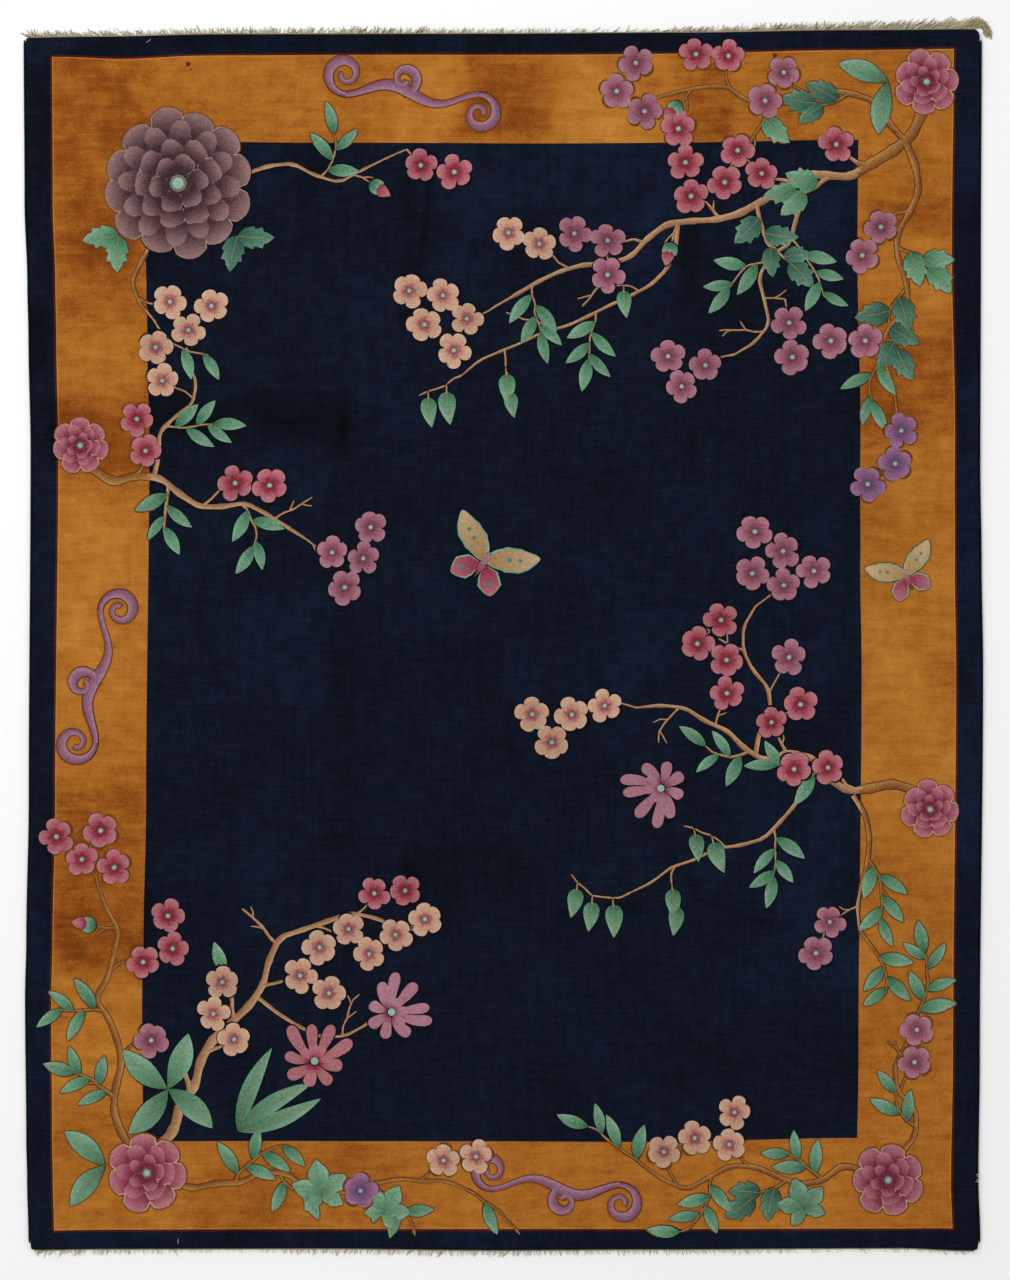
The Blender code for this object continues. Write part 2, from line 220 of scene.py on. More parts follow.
# The same painted sheen, shade and wear in the border
BORDER_PATCHES = (
    Patch(-1.154, 0.533, 1.69, 1.76, -0.60, 0.030),
    Patch(-1.326, -1.18, 1.69, 1.76, 0.30, 0.030),
    Patch(0.26, 0.40, 1.69, 1.76, 0.55, 0.020),
    Patch(0.54, 0.58, 1.69, 1.76, 0.40, 0.010),
    Patch(-1.38, -1.30, 1.26, 1.66, -0.40, 0.030),
    Patch(-1.38, -1.30, 0.77, 0.95, -0.90, 0.040),
    Patch(1.30, 1.38, 1.29, 1.70, 0.40, 0.040),
    Patch(1.30, 1.38, -0.62, 0.75, 0.45, 0.060),
    Patch(1.30, 1.38, -0.62, -0.11, 0.35, 0.060),
    Patch(1.30, 1.38, 0.78, 1.26, -0.25, 0.040),
    Patch(-1.30, -1.01, 1.09, 1.70, -0.70, 0.080),
    Patch(-0.296, -0.124, 1.43, 1.67, 0.50, 0.030),
    Patch(-0.124, 0.133, 1.45, 1.67, -0.62, 0.035),
    Patch(0.150, 0.476, 1.43, 1.69, 0.60, 0.040),
    Patch(0.533, 0.662, 1.43, 1.69, -0.65, 0.030),
    Patch(1.03, 1.28, 1.16, 1.26, -0.50, 0.030),
    Patch(1.05, 1.28, 0.95, 1.15, 0.40, 0.050),
    Patch(1.03, 1.29, 0.60, 0.89, -0.62, 0.050),
    Patch(1.13, 1.29, 0.12, 0.60, 0.45, 0.060),
    Patch(1.02, 1.29, -0.62, 0.12, 0.45, 0.060),
    Patch(1.02, 1.29, -1.43, -0.66, 0.10, 0.100),
    Patch(-1.29, -1.02, 0.89, 1.15, -0.50, 0.060),
    Patch(-1.30, -1.01, 0.49, 0.69, -1.10, 0.050),
    Patch(-1.29, -1.01, -0.23, 0.41, 0.48, 0.080),
    Patch(-1.083, -1.071, 0.00, 0.28, -0.60, 0.008),
    Patch(-1.29, -1.01, -0.74, -0.40, -0.60, 0.070),
    Patch(-1.29, -1.01, -0.94, -0.74, -0.90, 0.060),
    Patch(-1.29, -1.01, -1.32, -0.95, 0.50, 0.070),
    Patch(-1.28, -0.87, -1.69, -1.45, 0.10, 0.080),
    Patch(-0.87, -0.44, -1.69, -1.45, -0.22, 0.070),
    Patch(-0.30, 1.28, -1.69, -1.45, 0.20, 0.100),
)
# Thin lines of painted shade along creases in the pile, each darker by its depth over its half width
CREASE_SHADE_LINES = (
    Crease(-0.200, 1.40, -0.228, 1.15, 0.75, 0.009),
    Crease(-0.228, 1.15, -0.256, 0.97, 0.75, 0.009),
    Crease(-0.453, 0.72, -0.462, 0.54, 0.60, 0.014),
    Crease(-0.462, 0.60, -0.330, 0.66, 0.50, 0.012),
    Crease(0.480, -0.62, 0.560, -0.71, 0.45, 0.014),
    Crease(0.562, -0.74, 0.762, -0.81, 0.40, 0.010),
)
WAVE_SEED = 5
PATCH_BEND = 0.020
FINE_BEND = 0.006
NARROW_PATCH = 0.15
SOFTENING = 1.6
WAVES = 9
SHORTEST_WAVE, LONGEST_WAVE = 0.07, 0.42


def slow_waves(x, y, seed):
    """A smooth random field from a few crossed waves, about -1 to 1."""
    chance = random.Random(seed)
    total = 0
    for _ in range(WAVES):
        turn = chance.uniform(0, 2 * math.pi)
        wave = 2 * math.pi / chance.uniform(SHORTEST_WAVE, LONGEST_WAVE)
        across = x * math.cos(turn) + y * math.sin(turn)
        total = total + np.sin(wave * across + chance.uniform(0, 6.3))
    return total / 4


def soft_step(value, start, soft):
    share = np.clip((value - start) / soft + 0.5, 0, 1)
    return share * share * (3 - 2 * share)


def nap_sheen_and_wear_tone(x, y):
    """Painted sheen and shade of the leaning pile at a place, with its wear and crease shade."""

    def bent(a, b):
        wide, fine = slow_waves(a, b, WAVE_SEED), slow_waves(5 * a, 5 * b, WAVE_SEED)
        return a + PATCH_BEND * wide + FINE_BEND * fine

    bent_x, bent_y = bent(x, y), bent(y, x)
    fading = 0.75 + 0.35 * slow_waves(x, y, WAVE_SEED + 2)
    tone = np.zeros_like(bent_x)
    for patch in FIELD_PATCHES + BORDER_PATCHES:
        narrow = min(patch.x_to - patch.x_from, patch.y_to - patch.y_from)
        bend = min(1, narrow / NARROW_PATCH)
        px, py = x + (bent_x - x) * bend, y + (bent_y - y) * bend
        soft = patch.soft * SOFTENING
        inside = soft_step(px, patch.x_from, soft) * (1 - soft_step(px, patch.x_to, soft))
        inside = inside * soft_step(py, patch.y_from, soft) * (1 - soft_step(py, patch.y_to, soft))
        tone += patch.tone * inside * fading
    # Painted shade along the creases
    for line in CREASE_SHADE_LINES:
        tone -= line.depth * np.exp(-((distance_to(x, y, line) / line.half_width) ** 2))
    return tone


print("brushed patches:", len(FIELD_PATCHES) + len(BORDER_PATCHES))

# %% [markdown]
# ## A helper for materials
#
# One function adds a shader node with its settings and its links, and one turns a hex colour as a
# screen shows it into the linear values that Blender works in.

# %% Material helpers
SHEEN_ROUGHNESS = 0.4


def linear(hex_colour):
    """A colour as written for a screen, such as A06A26, as linear red, green, blue and alpha."""
    values = [int(hex_colour[place : place + 2], 16) / 255 for place in (0, 2, 4)]
    return [v / 12.92 if v <= 0.04045 else ((v + 0.055) / 1.055) ** 2.4 for v in values] + [1]


def new_material(name):
    material = bpy.data.materials.new(name)
    material.use_nodes = True
    return material


def set_inputs(material, node, inputs):
    """An input is a plain value, or another node's output that is linked to it."""
    for socket, value in inputs.items():
        if isinstance(value, bpy.types.NodeSocket):
            material.node_tree.links.new(value, node.inputs[socket])
        else:
            node.inputs[socket].default_value = value


def add_node(material, kind, inputs=None, **settings):
    """Adds a node with its settings and its inputs."""
    node = material.node_tree.nodes.new(kind)
    for name, value in settings.items():
        setattr(node, name, value)
    set_inputs(material, node, inputs or {})
    return node


def set_ramp(node, stops):
    """Writes (place, hex colour) pairs into a colour ramp."""
    elements = node.color_ramp.elements
    while len(elements) < len(stops):
        elements.new(0.5)
    for element, (place, hex_colour) in zip(elements, stops):
        element.position = place
        element.color = linear(hex_colour)


def finish_surface(material, colour, relief, roughness, specular=0.5, sheen=0.0, tint="FFFFFF"):
    """Gives the material's shader its colour, relief and shine."""
    inputs = {
        "Base Color": colour,
        "Normal": relief,
        "Roughness": roughness,
        "Specular IOR Level": specular,
        "Sheen Weight": sheen,
        "Sheen Tint": linear(tint),
    }
    if sheen:
        inputs["Sheen Roughness"] = SHEEN_ROUGHNESS
    set_inputs(material, material.node_tree.nodes["Principled BSDF"], inputs)
    return material


print("navy wool in linear values:", [round(value, 4) for value in linear("101626")])

# %% [markdown]
# ## Shorn wool pile
#
# The pile is wool, knotted about 70 knots to the foot and shorn level. Its surface is the cut ends
# of the yarn: matt, with a soft sheen, and every knot a shade of its own because hand-spun yarn
# takes dye unevenly. So the colour comes from five things: the painted sheen and shade of the
# leaning pile with its wear, slow cloudy changes, streaks along the weft and the warp, bars where one
# hank of yarn ended, and a value for each knot.
# All are read from Object coordinates, which are metres here, so a pattern's scale is one over its
# real size.

# %% Wool pile material
KNOT = 0.0043
TUFT = 0.0022
WEFT_STREAK = (0.110, 0.008)
WARP_STREAK = (0.014, 0.200)
HANK = (0.120, 0.026)
CLOUD = 0.26
MOTTLE = 0.040
PILE_RELIEF = 0.35
TUFT_HEIGHT = 0.0012


def grain(material, place, size_x, size_y, detail=2.0):
    """Noise with features of about size_x across and size_y along, in metres. Its mean is 0.5."""
    scale = (1 / size_x, 1 / size_y, 1)
    stretched = add_node(material, "ShaderNodeMapping", {"Vector": place, "Scale": scale})
    inputs = {"Vector": stretched.outputs["Vector"], "Scale": 1.0, "Detail": detail}
    return add_node(material, "ShaderNodeTexNoise", inputs).outputs[0]


def knot_value(material, place):
    """A random value for each knot, from 0 to 1."""
    step = (KNOT, KNOT, 1)
    snapped = add_node(material, "ShaderNodeVectorMath", {0: place, 1: step}, operation="SNAP")
    return add_node(material, "ShaderNodeTexWhiteNoise", {"Vector": snapped.outputs[0]}).outputs["Value"]


def weighted(material, base, value, weight):
    """base + weight * (value - 0.5), for a value whose mean is 0.5."""
    centred = add_node(material, "ShaderNodeMath", {0: value, 1: 0.5}, operation="SUBTRACT")
    inputs = {0: centred.outputs[0], 1: weight, 2: base}
    return add_node(material, "ShaderNodeMath", inputs, operation="MULTIPLY_ADD").outputs[0]


def pile_relief(material, place, strength):
    """The cut ends of the yarn as bump: fine tufts, and the rows of knots faintly."""
    tufts = grain(material, place, TUFT, TUFT, 3.0)
    rows = grain(material, place, 3 * KNOT, 0.6 * KNOT, 1.0)
    height = weighted(material, tufts, rows, 0.5)
    inputs = {"Height": height, "Strength": strength, "Distance": TUFT_HEIGHT}
    return add_node(material, "ShaderNodeBump", inputs).outputs["Normal"]


def wool_pile(
    name, stops, sheen_tint, nap_sheen_and_wear=0.36, clouds=0.5, weft=0.5, warp=0.3, knots=0.2, hanks=0.0
):
    """Shorn wool whose colour runs through stops from its darkest to its brightest tone."""
    material = new_material(name)
    place = add_node(material, "ShaderNodeTexCoord").outputs["Object"]
    # The painted sheen and shade of the leaning pile, with its wear, as stored on the mesh
    tone = add_node(material, "ShaderNodeAttribute", attribute_name="nap_sheen_and_wear").outputs["Fac"]
    inputs = {0: tone, 1: nap_sheen_and_wear, 2: 0.5}
    value = add_node(material, "ShaderNodeMath", inputs, operation="MULTIPLY_ADD").outputs[0]
    layers = (
        (grain(material, place, CLOUD, CLOUD, 3.0), clouds),
        (grain(material, place, MOTTLE, MOTTLE, 3.0), clouds),
        (grain(material, place, *WEFT_STREAK), weft),
        (grain(material, place, *WARP_STREAK), warp),
        (grain(material, place, *HANK, 4.0), hanks),
        (knot_value(material, place), knots),
    )
    for layer, weight in layers:
        value = weighted(material, value, layer, weight)
    ramp = add_node(material, "ShaderNodeValToRGB", {"Fac": value})
    set_ramp(ramp, stops)
    relief = pile_relief(material, place, PILE_RELIEF)
    return finish_surface(material, ramp.outputs["Color"], relief, 0.92, 0.06, 0.12, sheen_tint)


NAVY_STOPS = ((0.0, "04060B"), (0.30, "080C15"), (0.50, "0C1220"), (0.72, "0F182A"), (1.0, "16223A"))
GOLD_STOPS = ((0.0, "62300B"), (0.25, "824312"), (0.50, "9E5F1F"), (0.75, "B0722B"), (1.0, "C0883C"))
RED_STOPS = ((0.0, "240D0C"), (0.5, "46170F"), (1.0, "602414"))
LIGHT_STOPS = ((0.0, "8A4F22"), (0.5, "AA7032"), (1.0, "C08644"))
navy_field = wool_pile("navy_wool_field", NAVY_STOPS, "22345E")
navy_band = wool_pile("navy_wool_outer_band", NAVY_STOPS, "22345E")
gold_band = wool_pile(
    "gold_wool_border", GOLD_STOPS, "D9A860", clouds=0.42, weft=0.24, warp=0.08, knots=0.14, hanks=0.42
)
red_line = wool_pile("dark_red_wool_line", RED_STOPS, "5A2A20")
light_line = wool_pile("light_gold_wool_line", LIGHT_STOPS, "D9A860")
PILE_SLOTS = (navy_band, red_line, light_line, gold_band, navy_field)
NAVY_BAND, RED, LIGHT, GOLD, FIELD = range(len(PILE_SLOTS))
print("wool pile materials:", [material.name for material in PILE_SLOTS])

# %% [markdown]
# ## The pile as one sheet
#
# A grid of cells about 11 mm wide covers the carpet. Its lines aren't straight: each one keeps its
# share of the way between two of the carpet's own lines, such as the edge and the end of the navy
# band. So every band begins exactly on a line of the grid and has a crisp edge without any texture.
# A place on the grid has to meet a line across and a line along at once. Each depends on the other,
# and going back and forth between them three times settles both.

# %% Grid of the pile
CELL = 0.0112
SHOULDER_RINGS = (0.00054, 0.0020, 0.0040)


def band_lines(edges, navy_widths, gold_widths, at):
    """The carpet's lines across it at places along it: from the low edge to the high edge."""
    halves = []
    for side, edge, navy, gold in zip((1, -1), edges, navy_widths, gold_widths):
        start = edge(at)
        navy_end = start + side * read_line(navy, at)
        red_end = navy_end + side * RED_LINE
        light_end = red_end + side * LIGHT_LINE
        gold_end = navy_end + side * (gold if isinstance(gold, float) else read_line(gold, at))
        rings = [start] + [start + side * ring for ring in SHOULDER_RINGS]
        halves.append(rings + [navy_end, red_end, light_end, gold_end, gold_end + side * FIELD_LINE])
    return halves[0] + halves[1][::-1]


# The kind of pile between each of those lines and the next
STRETCHES = (
    [NAVY_BAND] * 4 + [RED, LIGHT, GOLD, FIELD, FIELD, FIELD, GOLD, LIGHT, RED] + [NAVY_BAND] * 4
)


def across_lines(y):
    return band_lines((left_x, right_x), (LEFT_NAVY, RIGHT_NAVY), (LEFT_GOLD, RIGHT_GOLD), y)


def along_lines(x):
    return band_lines((bottom_y, top_y), (BOTTOM_NAVY, TOP_NAVY), (BOTTOM_GOLD, TOP_GOLD), x)


def grid_places(lines):
    """Each grid line as (stretch, share of the way through it), and the kind of each gap."""
    places = []
    kinds = []
    for stretch, kind in enumerate(STRETCHES):
        count = max(1, round(float(lines[stretch + 1] - lines[stretch]) / CELL))
        places += [(stretch, step / count) for step in range(count)]
        kinds += [kind] * count
    return places + [(len(STRETCHES) - 1, 1.0)], kinds


def line_at(lines, place, pick):
    """One grid line's coordinates, from the carpet's lines where that grid line runs."""
    stretch, share = place
    return pick(lines[stretch]) * (1 - share) + pick(lines[stretch + 1]) * share


middle = np.float64(0)
column_places, column_kinds = grid_places(across_lines(middle))
row_places, row_kinds = grid_places(along_lines(middle))
columns = np.array([line_at(across_lines(middle), place, float) for place in column_places])
rows = np.array([line_at(along_lines(middle), place, float) for place in row_places])
grid_x = np.repeat(columns[:, None], len(rows), axis=1)
grid_y = np.repeat(rows[None, :], len(columns), axis=0)
for _ in range(3):
    lines_x, lines_y = across_lines(grid_y), along_lines(grid_x)
    new_x = [line_at(lines_x, place, lambda line: line[i]) for i, place in enumerate(column_places)]
    new_y = [line_at(lines_y, place, lambda line: line[:, j]) for j, place in enumerate(row_places)]
    grid_x, grid_y = np.stack(new_x), np.stack(new_y, axis=1)
print("grid lines:", len(columns), "across by", len(rows), "along")

# %% [markdown]
# ## Shoulder, corners and underside
#
# The shears leave a rounded shoulder at the carpet's edge, a quarter circle of 4 mm. A corner of
# the grid is square, and each of its places is drawn in towards the corner's centre until the
# square has become a round corner.
#
# Blender's own grid is added and its points are put at those places. Its rim is then extruded down
# to the floor, and the underside is closed with one large face. Straight cuts divide that face, so
# that the sheet is able to bend.

# %% Mesh of the pile
GROOVE_DEPTH = 0.0007
GROOVE_INSET_ACROSS, GROOVE_INSET_ALONG = 0.05, 0.04
UNDER_CELL = 0.18
SMOOTH_ANGLE = math.radians(50)
# Each corner as (side across, side along) and the radius that wear has given it
CORNER_RADII = {(-1, 1): 0.008, (1, 1): 0.018, (-1, -1): 0.008, (1, -1): 0.012}


def round_corner(x, y, centre_x, centre_y, side_x, side_y):
    """Turns the square corner outside a centre into a quarter circle."""
    out_x = (x - centre_x) * side_x
    out_y = (y - centre_y) * side_y
    inside = (out_x > 0) & (out_y > 0)
    length = np.where(inside, np.hypot(out_x, out_y), 1)
    scale = np.where(inside, np.maximum(out_x, out_y) / np.maximum(length, 1e-9), 1)
    return centre_x + (x - centre_x) * scale, centre_y + (y - centre_y) * scale


def pile_surface(x, y):
    """Height of every place of the grid: shoulder, creases and the grooves at the bands."""
    from_sides = np.minimum(x - left_x(y), right_x(y) - x)
    from_ends = np.minimum(top_y(x) - y, y - bottom_y(x))
    inset = np.minimum(from_sides, from_ends)
    missing = PILE_SHOULDER - np.clip(inset, 0, PILE_SHOULDER)
    height = pile_height(x, y) - PILE_SHOULDER + np.sqrt(np.maximum(PILE_SHOULDER**2 - missing**2, 0))
    starts = [index for index, kind in enumerate(column_kinds) if kind == RED]
    grooves = np.zeros(height.shape, bool)
    grooves[[index + 1 for index in starts[:1]] + starts[1:], :] = True
    starts = [index for index, kind in enumerate(row_kinds) if kind == RED]
    across = np.zeros(height.shape, bool)
    across[:, [index + 1 for index in starts[:1]] + starts[1:]] = True
    inner_x = np.abs(x) < WIDTH / 2 - GROOVE_INSET_ACROSS
    inner_y = np.abs(y) < LENGTH / 2 - GROOVE_INSET_ALONG
    return height - GROOVE_DEPTH * ((grooves | across) & inner_x & inner_y)


def start_fresh():
    """Leaves edit mode and deselects everything, so that the next operator acts on new geometry."""
    if bpy.context.object and bpy.context.object.mode != "OBJECT":
        bpy.ops.object.mode_set(mode="OBJECT")
    bpy.ops.object.select_all(action="DESELECT")


def close_below(height):
    """Draws the rim of an open grid down to a height and closes it there with one face."""
    bpy.ops.mesh.region_to_loop()
    bpy.ops.mesh.extrude_edges_move(TRANSFORM_OT_translate={"value": (0, 0, -0.001)})
    bpy.ops.transform.resize(value=(1, 1, 0), center_override=(0, 0, height))
    bpy.ops.mesh.edge_face_add()


def face_outward():
    """Turns all faces of the shape outward and leaves edit mode."""
    bpy.ops.mesh.select_all(action="SELECT")
    bpy.ops.mesh.normals_make_consistent(inside=False)
    bpy.ops.object.mode_set(mode="OBJECT")


def store(mesh, name, values):
    """Stores a value for each point of a mesh."""
    mesh.attributes.new(name, "FLOAT", "POINT").data.foreach_set("value", values)


def start_grid(name, places, materials):
    """A grid primitive with one point for each place, from the lower left of the carpet up."""
    start_fresh()
    count_y, count_x = places.shape[:2]
    bpy.ops.mesh.primitive_grid_add(x_subdivisions=count_x - 1, y_subdivisions=count_y - 1, size=2)
    made = bpy.context.object
    made.name = made.data.name = name
    for material in materials:
        made.data.materials.append(material)
    made.data.vertices.foreach_set("co", places.ravel())
    return made


def finish_grid():
    """Turns all faces of the piece outward, moves it to its place in the frame and smooths it."""
    bpy.ops.mesh.select_all(action="SELECT")
    bpy.ops.mesh.normals_make_consistent(inside=False)
    bpy.ops.transform.translate(value=SHIFT)
    bpy.ops.object.mode_set(mode="OBJECT")
    bpy.ops.object.shade_smooth_by_angle(angle=SMOOTH_ANGLE)


def divide_underside():
    """Cuts the one large face that is selected along straight lines, with all else hidden."""
    bpy.ops.mesh.select_mode(type="FACE")
    bpy.ops.mesh.hide(unselected=True)
    for reach, across in ((WIDTH / 2, Vector((1, 0, 0))), (LENGTH / 2, Vector((0, 1, 0)))):
        cuts = int(reach / UNDER_CELL)
        for cut in range(-cuts, cuts + 1):
            bpy.ops.mesh.select_all(action="SELECT")
            bpy.ops.mesh.bisect(plane_co=across * cut * UNDER_CELL, plane_no=across)
    bpy.ops.mesh.reveal(select=False)


def colour_underside(mesh, kinds):
    """Gives each face of the underside the kind of pile that lies over its centre."""
    centres = np.empty(3 * len(mesh.polygons))
    mesh.polygons.foreach_get("center", centres)
    x, y, z = centres.reshape(-1, 3).T
    column = np.clip(np.searchsorted(columns, x) - 1, 0, len(columns) - 2)
    row = np.clip(np.searchsorted(rows, y) - 1, 0, len(rows) - 2)
    slots = np.empty(len(mesh.polygons), np.int32)
    mesh.polygons.foreach_get("material_index", slots)
    mesh.polygons.foreach_set("material_index", np.where(z < 1e-6, kinds[column, row], slots))


def make_pile():
    """The pile and its foundation as one closed sheet, with a slot for each kind of pile."""
    height = pile_surface(grid_x, grid_y)
    x, y = grid_x, grid_y
    for (side_x, side_y), radius in CORNER_RADII.items():
        corner = (0 if side_x < 0 else -1, 0 if side_y < 0 else -1)
        centre = (grid_x[corner] - side_x * radius, grid_y[corner] - side_y * radius)
        x, y = round_corner(x, y, *centre, side_x, side_y)
    made = start_grid("rug_pile", np.stack([x.T, y.T, height.T], axis=-1), PILE_SLOTS)
    kinds = np.minimum(np.array(column_kinds)[:, None], np.array(row_kinds)[None, :])
    made.data.polygons.foreach_set("material_index", kinds.T.ravel())
    bpy.ops.object.mode_set(mode="EDIT")
    close_below(0)
    divide_underside()
    bpy.ops.object.mode_set(mode="OBJECT")
    colour_underside(made.data, kinds)
    points = np.empty(3 * len(made.data.vertices))
    made.data.vertices.foreach_get("co", points)
    store(made.data, "nap_sheen_and_wear", nap_sheen_and_wear_tone(*points.reshape(-1, 3).T[:2]))
    bpy.ops.object.mode_set(mode="EDIT")
    finish_grid()
    return made


pile = make_pile()
print("faces of the pile:", len(pile.data.polygons))

# %% [markdown]
# ## Turning a shape into many
#
# Hundreds of warp ends, petals and leaves repeat a few shapes. Each shape is modelled once with
# Blender's own tools and read as a master. Copies are then laid out with numpy and joined into one
# mesh, which is far quicker than hundreds of objects, and each copy has its own faces.

# %% Masters and their copies
Master = namedtuple("Master", "points faces slots values")
Copy = namedtuple("Copy", "master x y turn size lift tone", defaults=(0.0, 0.0, 0.0, 1.0, 0.0, 0.0))


def read_master(shape, wool=None):
    """Reads a modelled shape, all of one wool, as arrays and removes its object."""
    mesh = shape.data
    points = np.empty(3 * len(mesh.vertices))
    mesh.vertices.foreach_get("co", points)
    faces = [list(face.vertices) for face in mesh.polygons]
    stored = {}
    for name in ("shade", "rim"):
        stored[name] = np.zeros(len(mesh.vertices))
        if name in mesh.attributes:
            mesh.attributes[name].data.foreach_get("value", stored[name])
    bpy.data.objects.remove(shape)
    return Master(points.reshape(-1, 3), faces, [SLOT[wool] if wool else 0] * len(faces), stored)


def join_copies(copies):
    """One master that holds every copy, turned, scaled and put in its place."""
    points, faces, slots = [], [], []
    values = {"shade": [], "rim": [], "tone": []}
    start = 0
    for copy in copies:
        master = copy.master
        cosine, sine = math.cos(copy.turn) * copy.size, math.sin(copy.turn) * copy.size
        x, y, z = master.points.T
        placed = (copy.x + x * cosine - y * sine, copy.y + x * sine + y * cosine, z + copy.lift)
        points.append(np.stack(placed, axis=-1))
        faces += [[start + corner for corner in face] for face in master.faces]
        slots += master.slots
        for name, parts in values.items():
            own = copy.tone if name == "tone" else 0
            parts.append(master.values.get(name, np.zeros(len(x))) + own)
        start += len(x)
    joined = {name: np.concatenate(parts) for name, parts in values.items()}
    return Master(np.concatenate(points), faces, slots, joined)


def build_piece(name, master, materials, on_pile=False):
    """Makes a master an object of its own, laid on the pile and with only the slots it uses."""
    points = master.points.copy()
    if on_pile:
        points[:, 2] += pile_height(points[:, 0], points[:, 1])
    mesh = bpy.data.meshes.new(name)
    mesh.from_pydata((points + np.array(SHIFT)).tolist(), [], master.faces)
    used = sorted(set(master.slots))
    for slot in used:
        mesh.materials.append(materials[slot])
    mesh.polygons.foreach_set("material_index", [used.index(slot) for slot in master.slots])
    for value_name, stored in master.values.items():
        store(mesh, value_name, stored)
    mesh.validate()
    made = bpy.data.objects.new(name, mesh)
    bpy.context.scene.collection.objects.link(made)
    start_fresh()
    made.select_set(True)
    bpy.context.view_layer.objects.active = made
    bpy.ops.object.shade_smooth_by_angle(angle=SMOOTH_ANGLE)
    return made


print("helpers for repeated shapes are ready")

# %% [markdown]
# ## Cotton warp ends
#
# The fringe is the carpet's own warp: undyed cotton cord, cut off a finger's width past the last
# knots. Each end is a twisted cord about a millimetre and a half thick that has lost its stretch,
# so it curls. Six short ends and four long ones are modelled, each with a curl of its own: a
# triangle is extruded a few times, and each new end is turned a little and drawn thinner.

# %% One warp end
STRAND_WIDTH = 0.0017
STRAND_STEPS = 5
STRAND_TAPER = 0.93
STRAND_LENGTH = 0.016
LONG_STRAND = 0.046
CURLS = (-38, -20, -6, 9, 24, 46)
LONG_CURLS = (-16, -8, 4, 12)


def make_strand(curl, length=STRAND_LENGTH):
    """A warp end that leaves the web along +Y and bends by curl degrees."""
    start_fresh()
    bpy.ops.mesh.primitive_circle_add(vertices=3, radius=STRAND_WIDTH / 2, fill_type="NGON")
    shape = bpy.context.object
    bpy.ops.object.mode_set(mode="EDIT")
    bpy.ops.transform.rotate(value=math.radians(90), orient_axis="X", center_override=(0, 0, 0))
    heading, reach, side = 0.0, 0.0, 0.0
    step = length / STRAND_STEPS
    for _ in range(STRAND_STEPS):
        heading += math.radians(curl) / STRAND_STEPS
        move = (-step * math.sin(heading), step * math.cos(heading), 0)
        bpy.ops.mesh.extrude_region_move(TRANSFORM_OT_translate={"value": move})
        side += move[0]
        reach += move[1]
        place = (side, reach, 0)
        bend = -math.radians(curl) / STRAND_STEPS
        bpy.ops.transform.rotate(value=bend, orient_axis="Z", center_override=place)
        bpy.ops.transform.resize(value=[STRAND_TAPER] * 3, center_override=place)
    face_outward()
    return read_master(shape)


strands = [make_strand(curl) for curl in CURLS]
long_strands = [make_strand(curl, LONG_STRAND) for curl in LONG_CURLS]
print("points of a strand:", len(strands[0].points), "reach", strands[0].points[:, 1].max())

# %% [markdown]
# ## The fringe and its woven web
#
# Past the last knots a maker weaves a few millimetres of plain cotton web, so that the knots can't
# slide off, and leaves the warp ends loose. At the upper end they lie tangled, combed to the right
# and round the corner. At the lower end they are short and stand apart. A table gives how far they
# reach, how they lean and how many there are, and seeded chance does the rest. A few ends have come
# loose and lie on or beside the pile.

# %% Lie of the fringe
FringeRow = namedtuple("FringeRow", "at reach lean spread fullness")
TOP_FRINGE = (
    FringeRow(-1.36, 0.015, -54, 16, 1.5),
    FringeRow(-1.18, 0.014, -38, 22, 1.5),
    FringeRow(-0.80, 0.014, -12, 26, 1.3),
    FringeRow(-0.55, 0.015, 15, 24, 1.4),
    FringeRow(-0.10, 0.013, 25, 22, 1.15),
    FringeRow(0.10, 0.012, 22, 22, 0.8),
    FringeRow(0.38, 0.010, 28, 22, 0.5),
    FringeRow(0.60, 0.013, 40, 14, 1.3),
    FringeRow(0.80, 0.016, 50, 8, 1.8),
    FringeRow(1.00, 0.018, 52, 6, 2.0),
    FringeRow(1.18, 0.021, 54, 6, 2.0),
    FringeRow(1.34, 0.025, 56, 5, 2.0),
)
BOTTOM_FRINGE = (
    FringeRow(-1.34, 0.014, -20, 18, 1.15),
    FringeRow(-1.05, 0.013, 4, 18, 1.0),
    FringeRow(-0.80, 0.008, 10, 18, 0.6),
    FringeRow(-0.55, 0.014, -14, 16, 1.2),
    FringeRow(-0.15, 0.015, -16, 16, 1.25),
    FringeRow(0.30, 0.013, 8, 18, 1.1),
    FringeRow(0.70, 0.013, 14, 18, 1.1),
    FringeRow(0.95, 0.009, 20, 18, 0.6),
    FringeRow(1.20, 0.009, 34, 18, 0.8),
    FringeRow(1.35, 0.009, 40, 18, 0.8),
)


def fringe_value(rows, at, column):
    lines = [Line(row.at, getattr(row, column)) for row in rows]
    return float(read_line(lines, at))


print("rows of the fringe tables:", len(TOP_FRINGE) + len(BOTTOM_FRINGE))

# %% [markdown]
# ## Undyed cotton
#
# The warp is plain cotton cord, cream and matt, and greyer where feet and dust have been. Wide noise
# gives the dust and fine noise the twist of the cords.

# %% Cotton material
COTTON_RELIEF = 0.3


